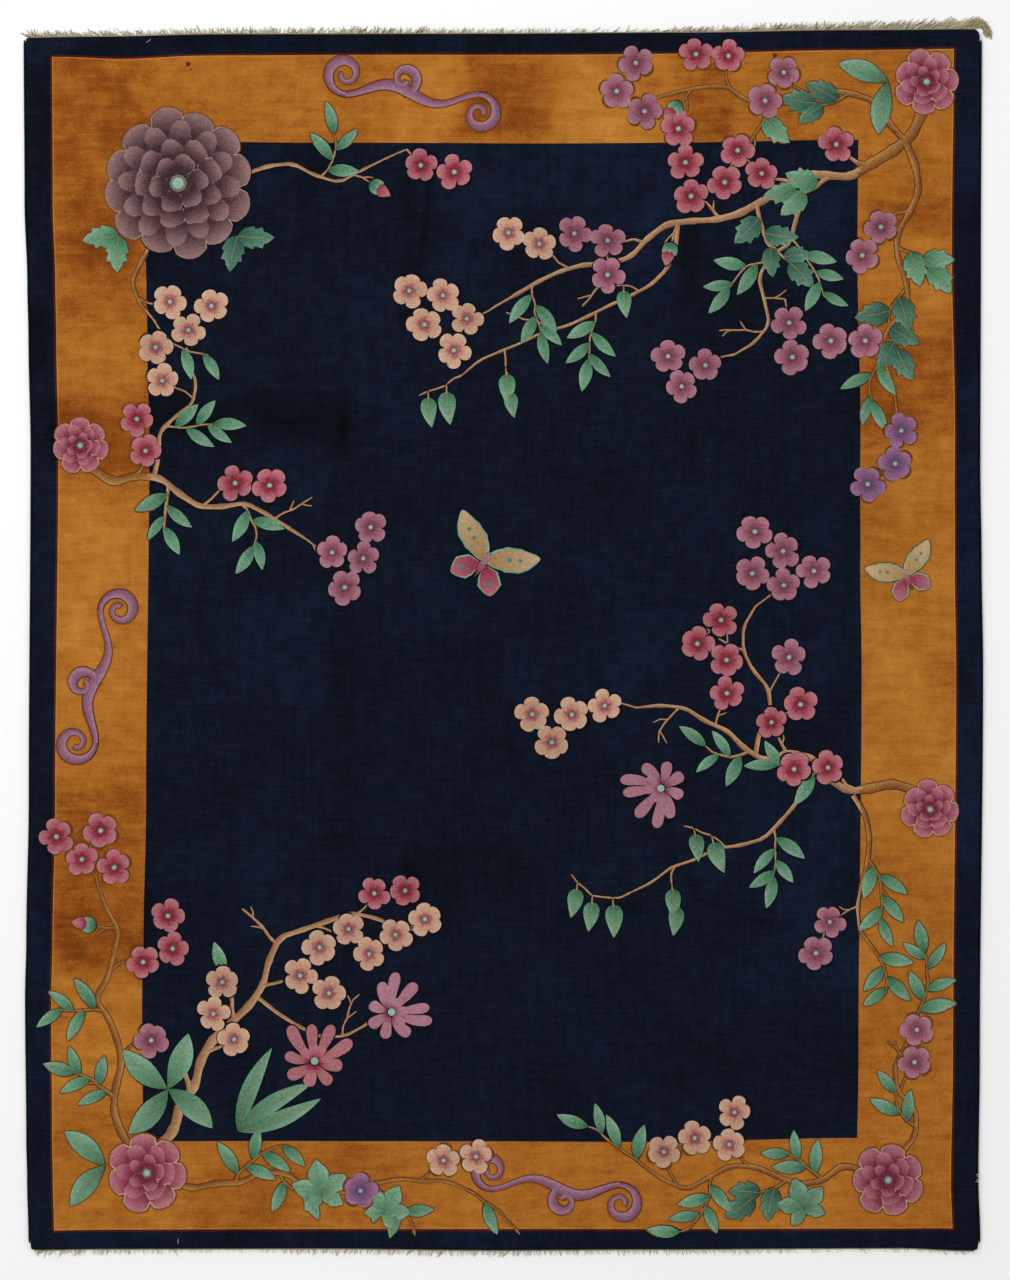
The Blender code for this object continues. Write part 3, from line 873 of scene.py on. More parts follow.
def cotton(name, dark, light):
    """Undyed cotton cord: matt, cream, greyer where feet and dust have been."""
    material = new_material(name)
    place = add_node(material, "ShaderNodeTexCoord").outputs["Object"]
    tone = add_node(material, "ShaderNodeAttribute", attribute_name="tone").outputs["Fac"]
    inputs = {0: tone, 1: 0.65, 2: 0.5}
    value = add_node(material, "ShaderNodeMath", inputs, operation="MULTIPLY_ADD").outputs[0]
    value = weighted(material, value, grain(material, place, 0.05, 0.05, 3.0), 0.5)
    value = weighted(material, value, grain(material, place, 0.0012, 0.0012), 0.3)
    ramp = add_node(material, "ShaderNodeValToRGB", {"Fac": value})
    set_ramp(ramp, ((0.0, dark), (1.0, light)))
    relief = pile_relief(material, place, COTTON_RELIEF)
    return finish_surface(material, ramp.outputs["Color"], relief, 0.88)


warp_cotton = cotton("undyed_cotton_warp", "54472C", "D2C49C")
print("fringe material:", warp_cotton.name)

# %% [markdown]
# ## The web
#
# The web is a strip of a few millimetres that follows the end of the pile, straying with it. A flat
# grid is laid along the edge, rounded at its top, drawn down to the floor and closed.

# %% Web
WEB_WIDTH = 0.0044
WEB_HEIGHT = 0.003
WEB_GAP = 0.0003
WEB_STEPS = 300
WEB_EDGE = 0.0006
WEB_SETBACK = 0.011
Web = namedtuple("Web", "edge_y outward start_x end_x")


def web_along(edge_y, outward):
    """Where the web of one end lies. It stops short of the side cords."""
    start_x = float(left_x(outward * LENGTH / 2)) + WEB_SETBACK
    end_x = float(right_x(outward * LENGTH / 2)) - WEB_SETBACK
    return Web(edge_y, outward, start_x, end_x)


def make_web(web):
    """The narrow woven strip: a grid bent along the end, rounded, and closed on the floor."""
    start_fresh()
    bpy.ops.mesh.primitive_grid_add(x_subdivisions=WEB_STEPS, y_subdivisions=4, size=2)
    shape = bpy.context.object
    for vert in shape.data.vertices:
        x = web.start_x + (web.end_x - web.start_x) * (vert.co.x + 1) / 2
        share = vert.co.y
        y = float(web.edge_y(x)) + web.outward * (WEB_GAP + WEB_WIDTH / 2) + share * WEB_WIDTH / 2
        vert.co = (x, y, WEB_EDGE + (WEB_HEIGHT - WEB_EDGE) * math.sqrt(max(0, 1 - share**4)))
    bpy.ops.object.mode_set(mode="EDIT")
    close_below(0)
    face_outward()
    return read_master(shape)


top_web, bottom_web = web_along(top_y, 1), web_along(bottom_y, -1)
print("the upper web runs from", round(top_web.start_x, 3), "to", round(top_web.end_x, 3))

# %% [markdown]
# ## Laying the warp ends
#
# Warp ends stand in bunches, because neighbours tangle, and in places they have worn away. Slow and
# quick waves along the web say how many are left at each place. Those that sweep round the upper
# right corner are laid one over the next along three arcs.

# %% Fringes
TOP_ENDS = 1500
BOTTOM_ENDS = 900
LONGEST_SHORT_END = 0.032
CORNER_OVERHANG = 0.016
MOST_LEAN = math.radians(78)
LEAST_COS = 0.45
TUFT_WAVE, GAP_WAVE = 97, 41
BUNCH_WAVE, DRIFT_WAVE = 520, 67
ARC_STEP = 0.006
ENDS_A_STEP = 9
CornerArc = namedtuple("CornerArc", "from_end heading radius")
CORNER_ARCS = (
    CornerArc(0.004, 48, 0.0165),
    CornerArc(0.018, 54, 0.0279),
    CornerArc(0.033, 58, 0.0392),
)
LooseEnd = namedtuple("LooseEnd", "x y turn")
LOOSE_ENDS = (
    LooseEnd(1.352, -1.524, -100),
    LooseEnd(1.354, -1.530, -60),
    LooseEnd(1.353, -1.538, -130),
    LooseEnd(1.350, -1.545, -80),
    LooseEnd(-0.930, -1.722, 20),
    LooseEnd(-1.010, 1.722, 150),
)
LOOSE_LIFT = 0.0128


def fullness_at(rows, x, bunch, seed):
    """How likely a warp end still stands at x. Tufts, gaps and bunches are waves of sixty-five,
    a hundred and fifty and twelve millimetres."""
    clump = 0.5 + 0.5 * math.sin(TUFT_WAVE * x) * math.sin(GAP_WAVE * x + seed)
    return fringe_value(rows, x, "fullness") ** 1.5 * (0.55 + 0.75 * clump) * (0.72 + 0.36 * bunch)


def standing_ends(web, ends, rows, tone_shift, seed, chance):
    """Warp ends all along the web, thinned, bunched and leaning as the rows say."""
    copies = []
    for number in range(ends):
        share = (number + chance.uniform(-0.6, 0.6)) / ends
        x = web.start_x + (web.end_x - web.start_x) * share
        bunch = math.sin(BUNCH_WAVE * x + 3 * math.sin(DRIFT_WAVE * x))
        if chance.random() > fullness_at(rows, x, bunch, seed):
            continue
        stray = chance.gauss(0, fringe_value(rows, x, "spread"))
        lean = math.radians(fringe_value(rows, x, "lean") + stray)
        lean = min(max(lean, -MOST_LEAN), MOST_LEAN)
        reach = fringe_value(rows, x, "reach") * chance.uniform(0.6, 1.35)
        length = reach / max(math.cos(lean), LEAST_COS)
        if length * math.sin(lean) > web.end_x + CORNER_OVERHANG - x:
            length = (web.end_x + CORNER_OVERHANG - x) / math.sin(lean)
        is_long = length > LONGEST_SHORT_END
        size = length / (LONG_STRAND if is_long else STRAND_LENGTH)
        root_y = float(web.edge_y(x)) + web.outward * (WEB_GAP + chance.uniform(0.2, 0.9) * WEB_WIDTH)
        turn = -web.outward * lean + (0 if web.outward > 0 else math.pi)
        lift = chance.uniform(0.0009, 0.0026)
        strand = chance.choice(long_strands if is_long else strands)
        # Each end's tone: the fringe's own shift, lighter in full bunches and darker in thin stretches,
        # and a random part
        tone = tone_shift + 0.45 * bunch + chance.uniform(-0.45, 0.45)
        copies.append(Copy(strand, x, root_y, turn, size, lift, tone))
    return copies


def swept_ends(web, arc, chance):
    """Warp ends laid one over the next along an arc that sweeps round the corner."""
    copies = []
    heading = math.radians(arc.heading)
    x = web.end_x - arc.from_end
    y = float(web.edge_y(x)) + web.outward * WEB_WIDTH
    while heading > -math.pi / 2:
        x, y = x + ARC_STEP * math.cos(heading), y + ARC_STEP * math.sin(heading)
        heading -= ARC_STEP / arc.radius
        for _ in range(ENDS_A_STEP):
            stray = chance.uniform(-0.0062, 0.0062)
            turn = heading - math.pi / 2 + chance.gauss(0, 0.14)
            lift = chance.uniform(0.0009, 0.003)
            root = (x - stray * math.sin(heading), y + stray * math.cos(heading))
            size = chance.uniform(0.6, 1.0)
            strand = chance.choice(strands)
            copies.append(Copy(strand, *root, turn, size, lift, chance.uniform(-0.6, 0.3)))
    return copies


def make_fringe(name, web, ends, rows, tone_shift, seed, arcs=(), loose=()):
    """The web and its loose warp ends as one piece."""
    chance = random.Random(seed)
    copies = [Copy(make_web(web), tone=-0.1)]
    copies += standing_ends(web, ends, rows, tone_shift, seed, chance)
    for end in loose:
        copies.append(Copy(strands[0], end.x, end.y, math.radians(end.turn), 0.9, LOOSE_LIFT, 0.5))
    for arc in arcs:
        copies += swept_ends(web, arc, chance)
    return build_piece(name, join_copies(copies), [warp_cotton])


# The upper fringe is drawn a little darker and the lower one lighter
fringe_top = make_fringe(
    "fringe_top_ends", top_web, TOP_ENDS, TOP_FRINGE, -0.12, 31, arcs=CORNER_ARCS
)
fringe_bottom = make_fringe(
    "fringe_bottom_ends", bottom_web, BOTTOM_ENDS, BOTTOM_FRINGE, 0.22, 57, loose=LOOSE_ENDS
)
print("faces of the fringes:", len(fringe_top.data.polygons), len(fringe_bottom.data.polygons))

# %% [markdown]
# ## The overcast side cords
#
# Along each side the outermost warps are bundled and wrapped with dark green wool, turn beside
# turn. So the cord isn't smooth: every wrap is a small ridge, and it runs slightly aslant. The cord
# is a long grid that is rolled up along the carpet's own edge, its rings thick and thin by turns.

# %% Side cords
WRAP_PITCH = 0.0062
CORD_WIDTH = 0.007
CORD_HEIGHT = 0.009
CORD_GAP = 0.0003
CORD_SETBACK = 0.018
CORD_SIDES = 8
THIN_WRAP = 0.84
WRAP_SLANT = 0.0011


def make_side_cord(name, edge_x, side, material):
    """A flat-footed tube along one side, ridged at every wrap: a long grid, rolled up and closed."""
    half_length = LENGTH / 2 - CORD_SETBACK
    count = 2 * round(2 * half_length / WRAP_PITCH)
    number, corner = np.mgrid[0 : count + 1, 0 : CORD_SIDES + 1]
    from_end = np.minimum(number, count - number)
    wrap = np.where(number % 2, 1.0, THIN_WRAP) * np.minimum(1.0, 0.55 + 0.15 * from_end)
    angle = 2 * math.pi * (corner % CORD_SIDES + 0.5) / CORD_SIDES
    y = -half_length + 2 * half_length * number / count
    x = edge_x(y) + side * (CORD_GAP + CORD_WIDTH / 2 * (1 + np.sin(angle) * wrap))
    up = CORD_HEIGHT / 2 * (1 - np.cos(angle) / math.cos(math.pi / CORD_SIDES) * wrap)
    places = np.stack([x, y + WRAP_SLANT * np.sin(angle), np.maximum(up, 0)], axis=-1)
    made = start_grid(name, places, [material])
    bpy.ops.object.mode_set(mode="EDIT")
    bpy.ops.mesh.remove_doubles(threshold=0.00001)
    bpy.ops.mesh.select_all(action="SELECT")
    bpy.ops.mesh.fill_holes(sides=CORD_SIDES)
    finish_grid()
    return made


GREEN_STOPS = ((0.0, "070C10"), (0.5, "10191F"), (1.0, "1E2C30"))
overcast_wool = wool_pile("dark_green_overcast_wool", GREEN_STOPS, "2A4444", weft=0.2, knots=0.4)
cord_left = make_side_cord("side_cord_left", left_x, -1, overcast_wool)
cord_right = make_side_cord("side_cord_right", right_x, 1, overcast_wool)
print("faces of a side cord:", len(cord_left.data.polygons))

# %% [markdown]
# ## Dyed wool for the motifs
#
# A petal isn't one colour. The weaver goes from a dark yarn at the heart through two or three
# shades to a pale one at the tip, and every knot is a shade of its own. Each motif stores how far a
# point lies from the heart, called shade, how near it lies to its outline, called rim, and how
# light that whole copy is, called tone. The material turns shade into colour with a ramp.

# %% Motif wool material
MOTIF_RELIEF = 0.45
RIM_SOFTNESS = 0.15


def dyed_wool(name, stops, rim_colour=None, rim_start=0.7, streaks=0.22, knots=0.20):
    """Wool pile that runs through stops from the heart to the tip, with an optional outline."""
    material = new_material(name)
    place = add_node(material, "ShaderNodeTexCoord").outputs["Object"]
    value = add_node(material, "ShaderNodeAttribute", attribute_name="shade").outputs["Fac"]
    layers = (
        (grain(material, place, 0.030, 0.007, 2.0), streaks),
        (grain(material, place, 0.011, 0.011, 2.0), streaks),
        (knot_value(material, place), 0.5 * knots),
    )
    for layer, weight in layers:
        value = weighted(material, value, layer, weight)
    ramp = add_node(material, "ShaderNodeValToRGB", {"Fac": value})
    set_ramp(ramp, stops)
    colour = ramp.outputs["Color"]
    if rim_colour:
        rim = add_node(material, "ShaderNodeAttribute", attribute_name="rim").outputs["Fac"]
        inputs = {"Value": rim, "From Min": rim_start, "From Max": min(1.0, rim_start + RIM_SOFTNESS)}
        edge = add_node(material, "ShaderNodeMapRange", inputs)
        mixing = {0: edge.outputs["Result"], 6: colour, 7: linear(rim_colour)}
        colour = add_node(material, "ShaderNodeMix", mixing, data_type="RGBA").outputs[2]
    light = weighted(material, 1.0, knot_value(material, place), knots)
    light = weighted(material, light, grain(material, place, 0.006, 0.006, 2.0), 2 * knots)
    tone = add_node(material, "ShaderNodeAttribute", attribute_name="tone").outputs["Fac"]
    light = add_node(material, "ShaderNodeMath", {0: light, 1: tone}, operation="ADD").outputs[0]
    dimmed = add_node(material, "ShaderNodeVectorMath", {0: colour, 3: light}, operation="SCALE")
    relief = pile_relief(material, place, MOTIF_RELIEF)
    return finish_surface(material, dimmed.outputs[0], relief, 0.9, 0.08, 0.12)


Wool = namedtuple("Wool", "name stops rim rim_start", defaults=(None, 0.7))
MOTIF_WOOLS = (
    # Painted shadow in the shorn groove: nearly black over navy, brown over gold
    Wool("painted_groove_shadow_on_navy", ((0.0, "04060A"), (1.0, "0A0E17"))),
    Wool("painted_groove_shadow_on_gold", ((0.0, "4C2A10"), (1.0, "6E4418"))),
    Wool("rose_wool", ((0.0, "6C1829"), (0.30, "842E3C"), (0.55, "9C5660"), (1.0, "AE7278"))),
    Wool("mauve_wool", ((0.0, "6A2840"), (0.30, "7C4454"), (0.6, "925F6C"), (1.0, "A47582"))),
    Wool("peach_wool", ((0.0, "7C3440"), (0.24, "985C5A"), (0.42, "B08670"), (1.0, "C09E86"))),
    Wool("violet_wool", ((0.0, "543C60"), (0.35, "724C6E"), (0.7, "8C6080"), (1.0, "9A6E8A"))),
    Wool("jade_leaf_wool", ((0.0, "255A3E"), (0.32, "426F52"), (0.65, "5D866A"), (1.0, "7FA088"))),
    Wool("deep_leaf_wool", ((0.0, "1E4638"), (0.4, "345A4A"), (0.75, "4C725E"), (1.0, "6E8E7A"))),
    Wool("bough_wool", ((0.0, "7C563C"), (0.5, "9C7452"), (1.0, "B6926C"))),
    Wool("bough_on_gold_wool", ((0.0, "6E4222"), (0.5, "8A5A2E"), (1.0, "A67840"))),
    Wool("tan_rib_wool", ((0.0, "7E6448"), (1.0, "9A7E5A"))),
    Wool("heart_ring_wool", ((0.0, "54564E"), (1.0, "7E7E72"))),
    Wool("mint_heart_wool", ((0.0, "749A86"), (1.0, "9CBCA6"))),
    Wool("butter_wing_wool", ((0.0, "94744A"), (0.5, "A68862"), (1.0, "B49A76")), "6A917A", 0.72),
    Wool("rose_wing_wool", ((0.0, "7C1C36"), (0.35, "923E4E"), (1.0, "A2626A")), "78A088", 0.72),
    Wool("mauve_scroll_wool", ((0.0, "70445A"), (0.5, "865A6E"), (1.0, "9C7688"))),
    Wool("peony_wool", ((0.0, "6A2636"), (0.4, "8E4A58"), (1.0, "A66C76")), "BC9880", 0.80),
    Wool("rosette_wool", ((0.0, "3E282C"), (0.45, "664A4C"), (1.0, "8C6C6A")), "A88E82", 0.86),
    Wool("teal_wool", ((0.0, "2E6068"), (1.0, "568A8E"))),
    Wool("stained_wool", ((0.0, "4A1E10"), (1.0, "6A3218"))),
)
MOTIF_SLOTS = [dyed_wool(wool.name, wool.stops, wool.rim, wool.rim_start) for wool in MOTIF_WOOLS]
SLOT = {wool.name: number for number, wool in enumerate(MOTIF_WOOLS)}
# Over the gold border the painted groove shadow turns brown and boughs take their gold-ground yarn
ON_GOLD = {"painted_groove_shadow_on_navy": "painted_groove_shadow_on_gold", "bough_wool": "bough_on_gold_wool"}
GROOVE_SHADOW_WOOL = "painted_groove_shadow_on_navy"
print("motif wools:", len(MOTIF_SLOTS))

# %% [markdown]
# ## A pad and its groove
#
# Petals, leaves, wings and boughs are all strips: a middle line with a width that swells and
# narrows along it. So one function makes them. It adds a flat grid, lays its columns across the
# strip and its rows along it, crowns it, merges the points where an end narrows to a tip, and pulls
# the outline down into the pile. The shadow in the groove is painted: it is the same strip, a
# little wider and longer, flat and dark, just above the pile. Motifs that cross lie in three
# storeys 0.6 mm apart, boughs below leaves below blossoms, so that this painted groove shadow also
# shows where one motif passes over another.

# %% Strips
GROOVE_WIDTH = 0.0030
GROOVE_RISE = 0.00016
EDGE_RISE = 0.00040
CROWN = 0.0007
FOOT = -0.0008
STOREY = 0.0006
FINE_STEPS = 120
TIP_MERGE = 0.0002
BOUGH_STOREY, LEAF_STOREY, BLOSSOM_STOREY = 0, 1, 2
BLOSSOM_RISE = BLOSSOM_STOREY * STOREY + GROOVE_RISE


def close_pad():
    """Merges collapsed points, pulls the outline down into the pile and closes the underside."""
    bpy.ops.object.mode_set(mode="EDIT")
    bpy.ops.mesh.select_mode(type="VERT")
    bpy.ops.mesh.select_all(action="SELECT")
    bpy.ops.mesh.remove_doubles(threshold=TIP_MERGE)
    bpy.ops.mesh.select_mode(type="EDGE")
    bpy.ops.mesh.select_all(action="SELECT")
    close_below(FOOT)
    face_outward()


def frame_of(line, count):
    """Evenly stepped points of a line, with the direction across it, as arrays."""
    line = np.asarray(line, float)
    steps = np.hypot(*np.diff(line, axis=0).T)
    length = np.concatenate([[0], np.cumsum(steps)])
    at = np.linspace(0, length[-1], count)
    points = np.stack([np.interp(at, length, line[:, axis]) for axis in (0, 1)], axis=-1)
    ahead = np.gradient(points, axis=0)
    ahead /= np.maximum(np.hypot(*ahead.T), 1e-9)[:, None]
    return points, np.stack([ahead[:, 1], -ahead[:, 0]], axis=-1), length[-1]


def strip(
    line, width_at, wool, storey, shade_at=None, across=4, steps=8, rounded=True, rows=None, grow=0.0
):
    """A strip along a line. width_at and shade_at are functions of the share t of the way along,
    and u, from -1 on its left side to 1 on its right, for shade_at. With grow it is the flat dark
    sheet that paints a groove's shadow. Its cross rows are evenly eased along it, or lie at the
    shares named in rows."""
    fine_points, fine_across, length = frame_of(line, FINE_STEPS + 1)
    start_fresh()
    steps = len(rows) - 1 if rows else steps
    bpy.ops.mesh.primitive_grid_add(x_subdivisions=across, y_subdivisions=steps, size=2)
    shape = bpy.context.object
    grid = np.array([vert.co for vert in shape.data.vertices])
    u = np.sin(grid[:, 0] * math.pi / 2)
    share = (grid[:, 1] + 1) / 2
    t = (1 - np.cos(share * math.pi)) / 2 if rounded else share
    if rows:
        t = np.array(rows)[np.round(share * steps).astype(int)]
    reach = t * (1 + 2 * grow / length) - grow / length
    inside = np.clip(reach, 0, 1)

    def read_along(fine):
        steps_in = inside * FINE_STEPS
        return np.stack([np.interp(steps_in, range(FINE_STEPS + 1), part) for part in fine.T], -1)

    middle, side = read_along(fine_points), read_along(fine_across)
    ahead = np.stack([-side[:, 1], side[:, 0]], axis=-1)
    middle += ahead * ((reach - inside) * length)[:, None]
    half = np.array([width_at(float(place)) for place in t]) + grow
    if rounded:
        half = half * np.where((t < 1e-6) | (t > 1 - 1e-6), 0, 1)
    placed = middle + side * (u * half)[:, None]
    rise = GROOVE_RISE + storey * STOREY
    round_off = np.sqrt(np.clip(4 * t * (1 - t), 0, 1)) if rounded else np.ones_like(t)
    crown = 0 if grow else EDGE_RISE + CROWN * (1 - u**2) * round_off
    heights = rise + crown + np.zeros_like(t)
    for vert, (x, y), z in zip(shape.data.vertices, placed, heights):
        vert.co = (x, y, z)
    ends = np.abs(2 * t - 1) ** 6 if rounded else np.zeros_like(t)
    store(shape.data, "shade", np.zeros(len(t)) + (t if shade_at is None else shade_at(t, u)))
    store(shape.data, "rim", np.maximum(np.abs(u) ** 1.5, ends))
    close_pad()
    return read_master(shape, wool)


def padded_strip(
    line, width_at, wool, storey, shade_at=None, across=4, steps=8, rounded=True, rows=None
):
    """A strip with the painted shadow of the groove that is shorn round it."""
    # A flat dark sheet of painted groove shadow round the pad
    groove = strip(line, width_at, GROOVE_SHADOW_WOOL, storey, None, 1, steps, rounded, rows, GROOVE_WIDTH)
    pad = strip(line, width_at, wool, storey, shade_at, across, steps, rounded, rows)
    return join_copies([Copy(groove), Copy(pad)])


def repainted(master, **new_slots):
    """A copy of a master in other wools: each name is an old wool and its value the new one."""
    change = {SLOT[old]: SLOT[new] for old, new in new_slots.items()}
    return master._replace(slots=[change.get(slot, slot) for slot in master.slots])


print("storeys at", [round(1000 * storey * STOREY, 2) for storey in (0, 1, 2)], "mm")

# %% [markdown]
# ## Plum blossom
#
# The commonest flower on these carpets: five round petals that nearly touch, dark red at the heart,
# and in the middle a mint dot in a grey ring. One petal is a strip that is widest past its middle.
# The groove's shadow is painted as one dark scalloped disc under all five, so it also shows as a
# thin dark line of painted shade between them. The disc and the dots start as circles that are
# drawn in and pushed out in edit mode.

# %% Blossom masters
PETALS = 5
BLOSSOM_RADIUS = 0.049
PETAL_ROOT = 0.007
PETAL_HALF_WIDTH = 0.0205
HEART_RADIUS = 0.0052
HEART_RING = 0.0080
DISC_BEVEL = 0.00012


def disc(radius_at, wool, high, corners, ring=0.0006):
    """A closed low disc whose radius is a function of the angle, with a bevelled upper edge."""
    start_fresh()
    bpy.ops.mesh.primitive_circle_add(vertices=corners, radius=1.0, fill_type="NGON")
    shape = bpy.context.object
    for vert in shape.data.vertices:
        angle = math.atan2(vert.co.y, vert.co.x)
        radius = radius_at(angle)
        vert.co = (radius * math.cos(angle), radius * math.sin(angle), FOOT)
    bpy.ops.object.mode_set(mode="EDIT")
    bpy.ops.mesh.select_all(action="SELECT")
    bpy.ops.mesh.extrude_region_move(TRANSFORM_OT_translate={"value": (0, 0, high - FOOT)})
    bpy.ops.mesh.inset(thickness=ring, depth=DISC_BEVEL)
    face_outward()
    for name in ("shade", "rim"):
        store(shape.data, name, [0.5] * len(shape.data.vertices))
    return read_master(shape, wool)


def round_disc(radius, wool, high, corners):
    return disc(lambda angle: radius, wool, high, corners)


def spoon_width(half, root, shoulder):
    """Half the width of a petal: narrow at its root, widest at its shoulder and round at its end."""

    def width_at(t):
        swell = root + (1 - root) * math.sin(math.pi / 2 * min(1.0, t / shoulder))
        past = max(0.0, (t - shoulder) / (1 - shoulder))
        return half * swell * math.sqrt(max(0.0, 1 - past**2))

    return width_at


def make_blossom(seed):
    """A blossom of 98 mm. Its petals differ a little, as knotted ones do."""
    chance = random.Random(seed)

    def scallop(angle):
        petal = abs(math.cos(PETALS / 2 * (angle - math.pi / 2)))
        return (0.62 + 0.38 * petal**0.45) * BLOSSOM_RADIUS + GROOVE_WIDTH

    def shade_at(t, u):
        return 0.95 * t + 0.28 * u**2 * (1 - t) - 0.04 * u

    # A dark scalloped disc of painted groove shadow under the petals
    parts = [Copy(disc(scallop, GROOVE_SHADOW_WOOL, BLOSSOM_RISE - 0.0001, 60, ring=0.006))]
    for number in range(PETALS):
        reach = BLOSSOM_RADIUS * chance.uniform(0.92, 1.03)
        bend = chance.uniform(-0.003, 0.003)
        line = [(0, PETAL_ROOT), (bend, 0.6 * reach), (0, reach)]
        width_at = spoon_width(PETAL_HALF_WIDTH * chance.uniform(0.94, 1.04), 0.42, 0.62)
        petal = strip(line, width_at, "rose_wool", BLOSSOM_STOREY, shade_at)
        turn = 2 * math.pi * number / PETALS + chance.uniform(-0.05, 0.05)
        parts.append(Copy(petal, turn=turn, tone=chance.uniform(-0.05, 0.05)))
    ring = round_disc(HEART_RING, "heart_ring_wool", BLOSSOM_RISE + 0.0011, 12)
    dot = round_disc(HEART_RADIUS, "mint_heart_wool", BLOSSOM_RISE + 0.0014, 8)
    return join_copies(parts + [Copy(ring), Copy(dot)])


rose_blossoms = [make_blossom(seed) for seed in (1, 2, 3)]
BLOSSOMS = {"rose": rose_blossoms}
for colour in ("mauve", "peach", "violet"):
    BLOSSOMS[colour] = [repainted(blossom, rose_wool=f"{colour}_wool") for blossom in rose_blossoms]
print("faces of a blossom:", len(rose_blossoms[0].faces))

# %% [markdown]
# ## Leaves
#
# Six kinds of leaf are needed. Small pointed and toothed ones stand left and right along a twig,
# broad ones and long blades with a tan rib grow from the foot of a bough, drop-shaped ones hang in
# a row, and lobed ones lie open like a hand. Each is made of strips again, only their width
# differs. A leaf is dark at its stalk and along its rib and pale towards its edge, and one half is
# a little lighter than the other.

# %% Leaf masters
RIB_LIFT = CROWN * 0.75
VEIN_LIFT = CROWN * 0.8
LOBE_STEP = 0.00008
STALK_HALF = 0.0022
STALK_LIFT = CROWN * 0.3


def leaf_width(half, widest):
    """A width that swells to its widest share of the way along and ends in a point."""
    power = math.log(0.5) / math.log(widest)

    def width_at(t):
        return half * math.sin(math.pi * min(max(t, 0), 1) ** power) ** 0.85

    return width_at


def leaf_shade(t, u):
    return 0.04 + 1.5 * t - 0.85 * t**2 + 0.16 * np.abs(u) + 0.10 * u


def leaf_rib(line, half=0.0013, steps=7):
    """The tan line down the middle of a leaf."""
    return strip(line, lambda t: half, "tan_rib_wool", LEAF_STOREY, across=2, steps=steps)


def make_leaf(length, half, widest, bend, rib=False, steps=10, stalk=0.0):
    """A leaf along +Y, bent sideways by bend at its tip, with an optional rib and stalk."""
    shares = np.linspace(0, 1, 9)
    line = [(bend * share**2, stalk + length * share) for share in shares]
    width_at = leaf_width(half, widest)
    parts = [Copy(padded_strip(line, width_at, "jade_leaf_wool", LEAF_STOREY, leaf_shade, steps=steps))]
    if rib:
        rib_line = [(0.0, stalk + 0.04 * length)] + line[1:8]
        parts.append(Copy(leaf_rib(rib_line), lift=RIB_LIFT))
    if stalk:
        stalk_line = [(0.0, -0.004), (0.0, stalk + 0.008)]
        stem = padded_strip(
            stalk_line, lambda t: STALK_HALF, "bough_wool", LEAF_STOREY, across=2, steps=3
        )
        parts.append(Copy(stem, lift=STALK_LIFT))
    return join_copies(parts)


# Places along a toothed leaf, each as its share of the length and of the half width
TEETH = (
    (0.0, 0.0), (0.05, 0.36), (0.16, 0.74), (0.30, 0.88), (0.44, 1.0), (0.47, 0.76),
    (0.56, 0.80), (0.68, 0.92), (0.71, 0.52), (0.80, 0.46), (0.90, 0.27), (1.0, 0.0),
)


def make_toothed_leaf(length, half, bend):
    """A leaf like that of a plane tree, its few large teeth pointing at the tip."""
    line = [(bend * share**2, length * share) for share in np.linspace(0, 1, 9)]
    rows, halves = zip(*TEETH)

    def width_at(t):
        return half * float(np.interp(t, rows, halves))

    leaf = padded_strip(line, width_at, "jade_leaf_wool", LEAF_STOREY, leaf_shade, rows=rows)
    return join_copies([Copy(leaf), Copy(leaf_rib(line[:7]), lift=RIB_LIFT)])


Lobe = namedtuple("Lobe", "turn length half")
LOBES = (
    Lobe(-125, 0.068, 0.021),
    Lobe(125, 0.068, 0.021),
    Lobe(-62, 0.088, 0.027),
    Lobe(62, 0.088, 0.027),
    Lobe(0, 0.098, 0.031),
)


def make_lobed_leaf():
    """An open five-lobed leaf, 165 mm across. Its lobes lie on each other like fingers."""
    parts = []
    for number, (turn, length, half) in enumerate(LOBES):
        plain = leaf_width(half, 0.56)

        def width_at(t):
            notch = 0.16 * max(0.0, math.sin(5 * math.pi * t)) if 0.3 < t < 0.95 else 0.0
            return plain(t) * (1 - notch)

        line = [(0, -0.012), (0, length / 2), (0, length)]
        lobe = padded_strip(line, width_at, "jade_leaf_wool", LEAF_STOREY, leaf_shade, steps=14)
        vein = leaf_rib([(0, 0.004), (0, 0.8 * length)], 0.0011, 5)
        angle = math.radians(turn)
        parts.append(Copy(lobe, turn=angle, lift=LOBE_STEP * number))
        parts.append(Copy(vein, turn=angle, lift=VEIN_LIFT + LOBE_STEP * number))
    return join_copies(parts)


small_leaves = [
    make_leaf(0.100, 0.0185, 0.46, 0.012),
    make_leaf(0.100, 0.0170, 0.46, -0.013),
    make_leaf(0.100, 0.0195, 0.46, 0.003),
]
broad_leaves = [make_leaf(0.175, 0.034, 0.52, bend, True, 12) for bend in (0.035, -0.030)]
drop_leaves = [make_leaf(0.092, 0.025, 0.30, bend, True, 12, 0.020) for bend in (0.008, -0.010)]
blade_leaves = [make_leaf(0.250, 0.024, 0.45, bend, True, 14) for bend in (0.055, -0.050)]
toothed_leaves = [make_toothed_leaf(0.104, 0.036, 0.010), make_toothed_leaf(0.104, 0.033, -0.014)]
deep_toothed_leaves = [repainted(leaf, jade_leaf_wool="deep_leaf_wool") for leaf in toothed_leaves]
lobed_leaf = make_lobed_leaf()
print("faces of a small leaf:", len(small_leaves[0].faces))

# %% [markdown]
# ## Buds, chrysanthemums and peonies
#
# A bud is one closed petal in a green cup. A chrysanthemum is a ring of spoon-like petals that curl
# as they open, long on one side and short on the other, with four small ones in its middle. A peony
# is laid like roof tiles: a ring of broad scalloped petals, then a smaller ring on top of it, down
# to a tight middle. All are loops of strips about a heart.

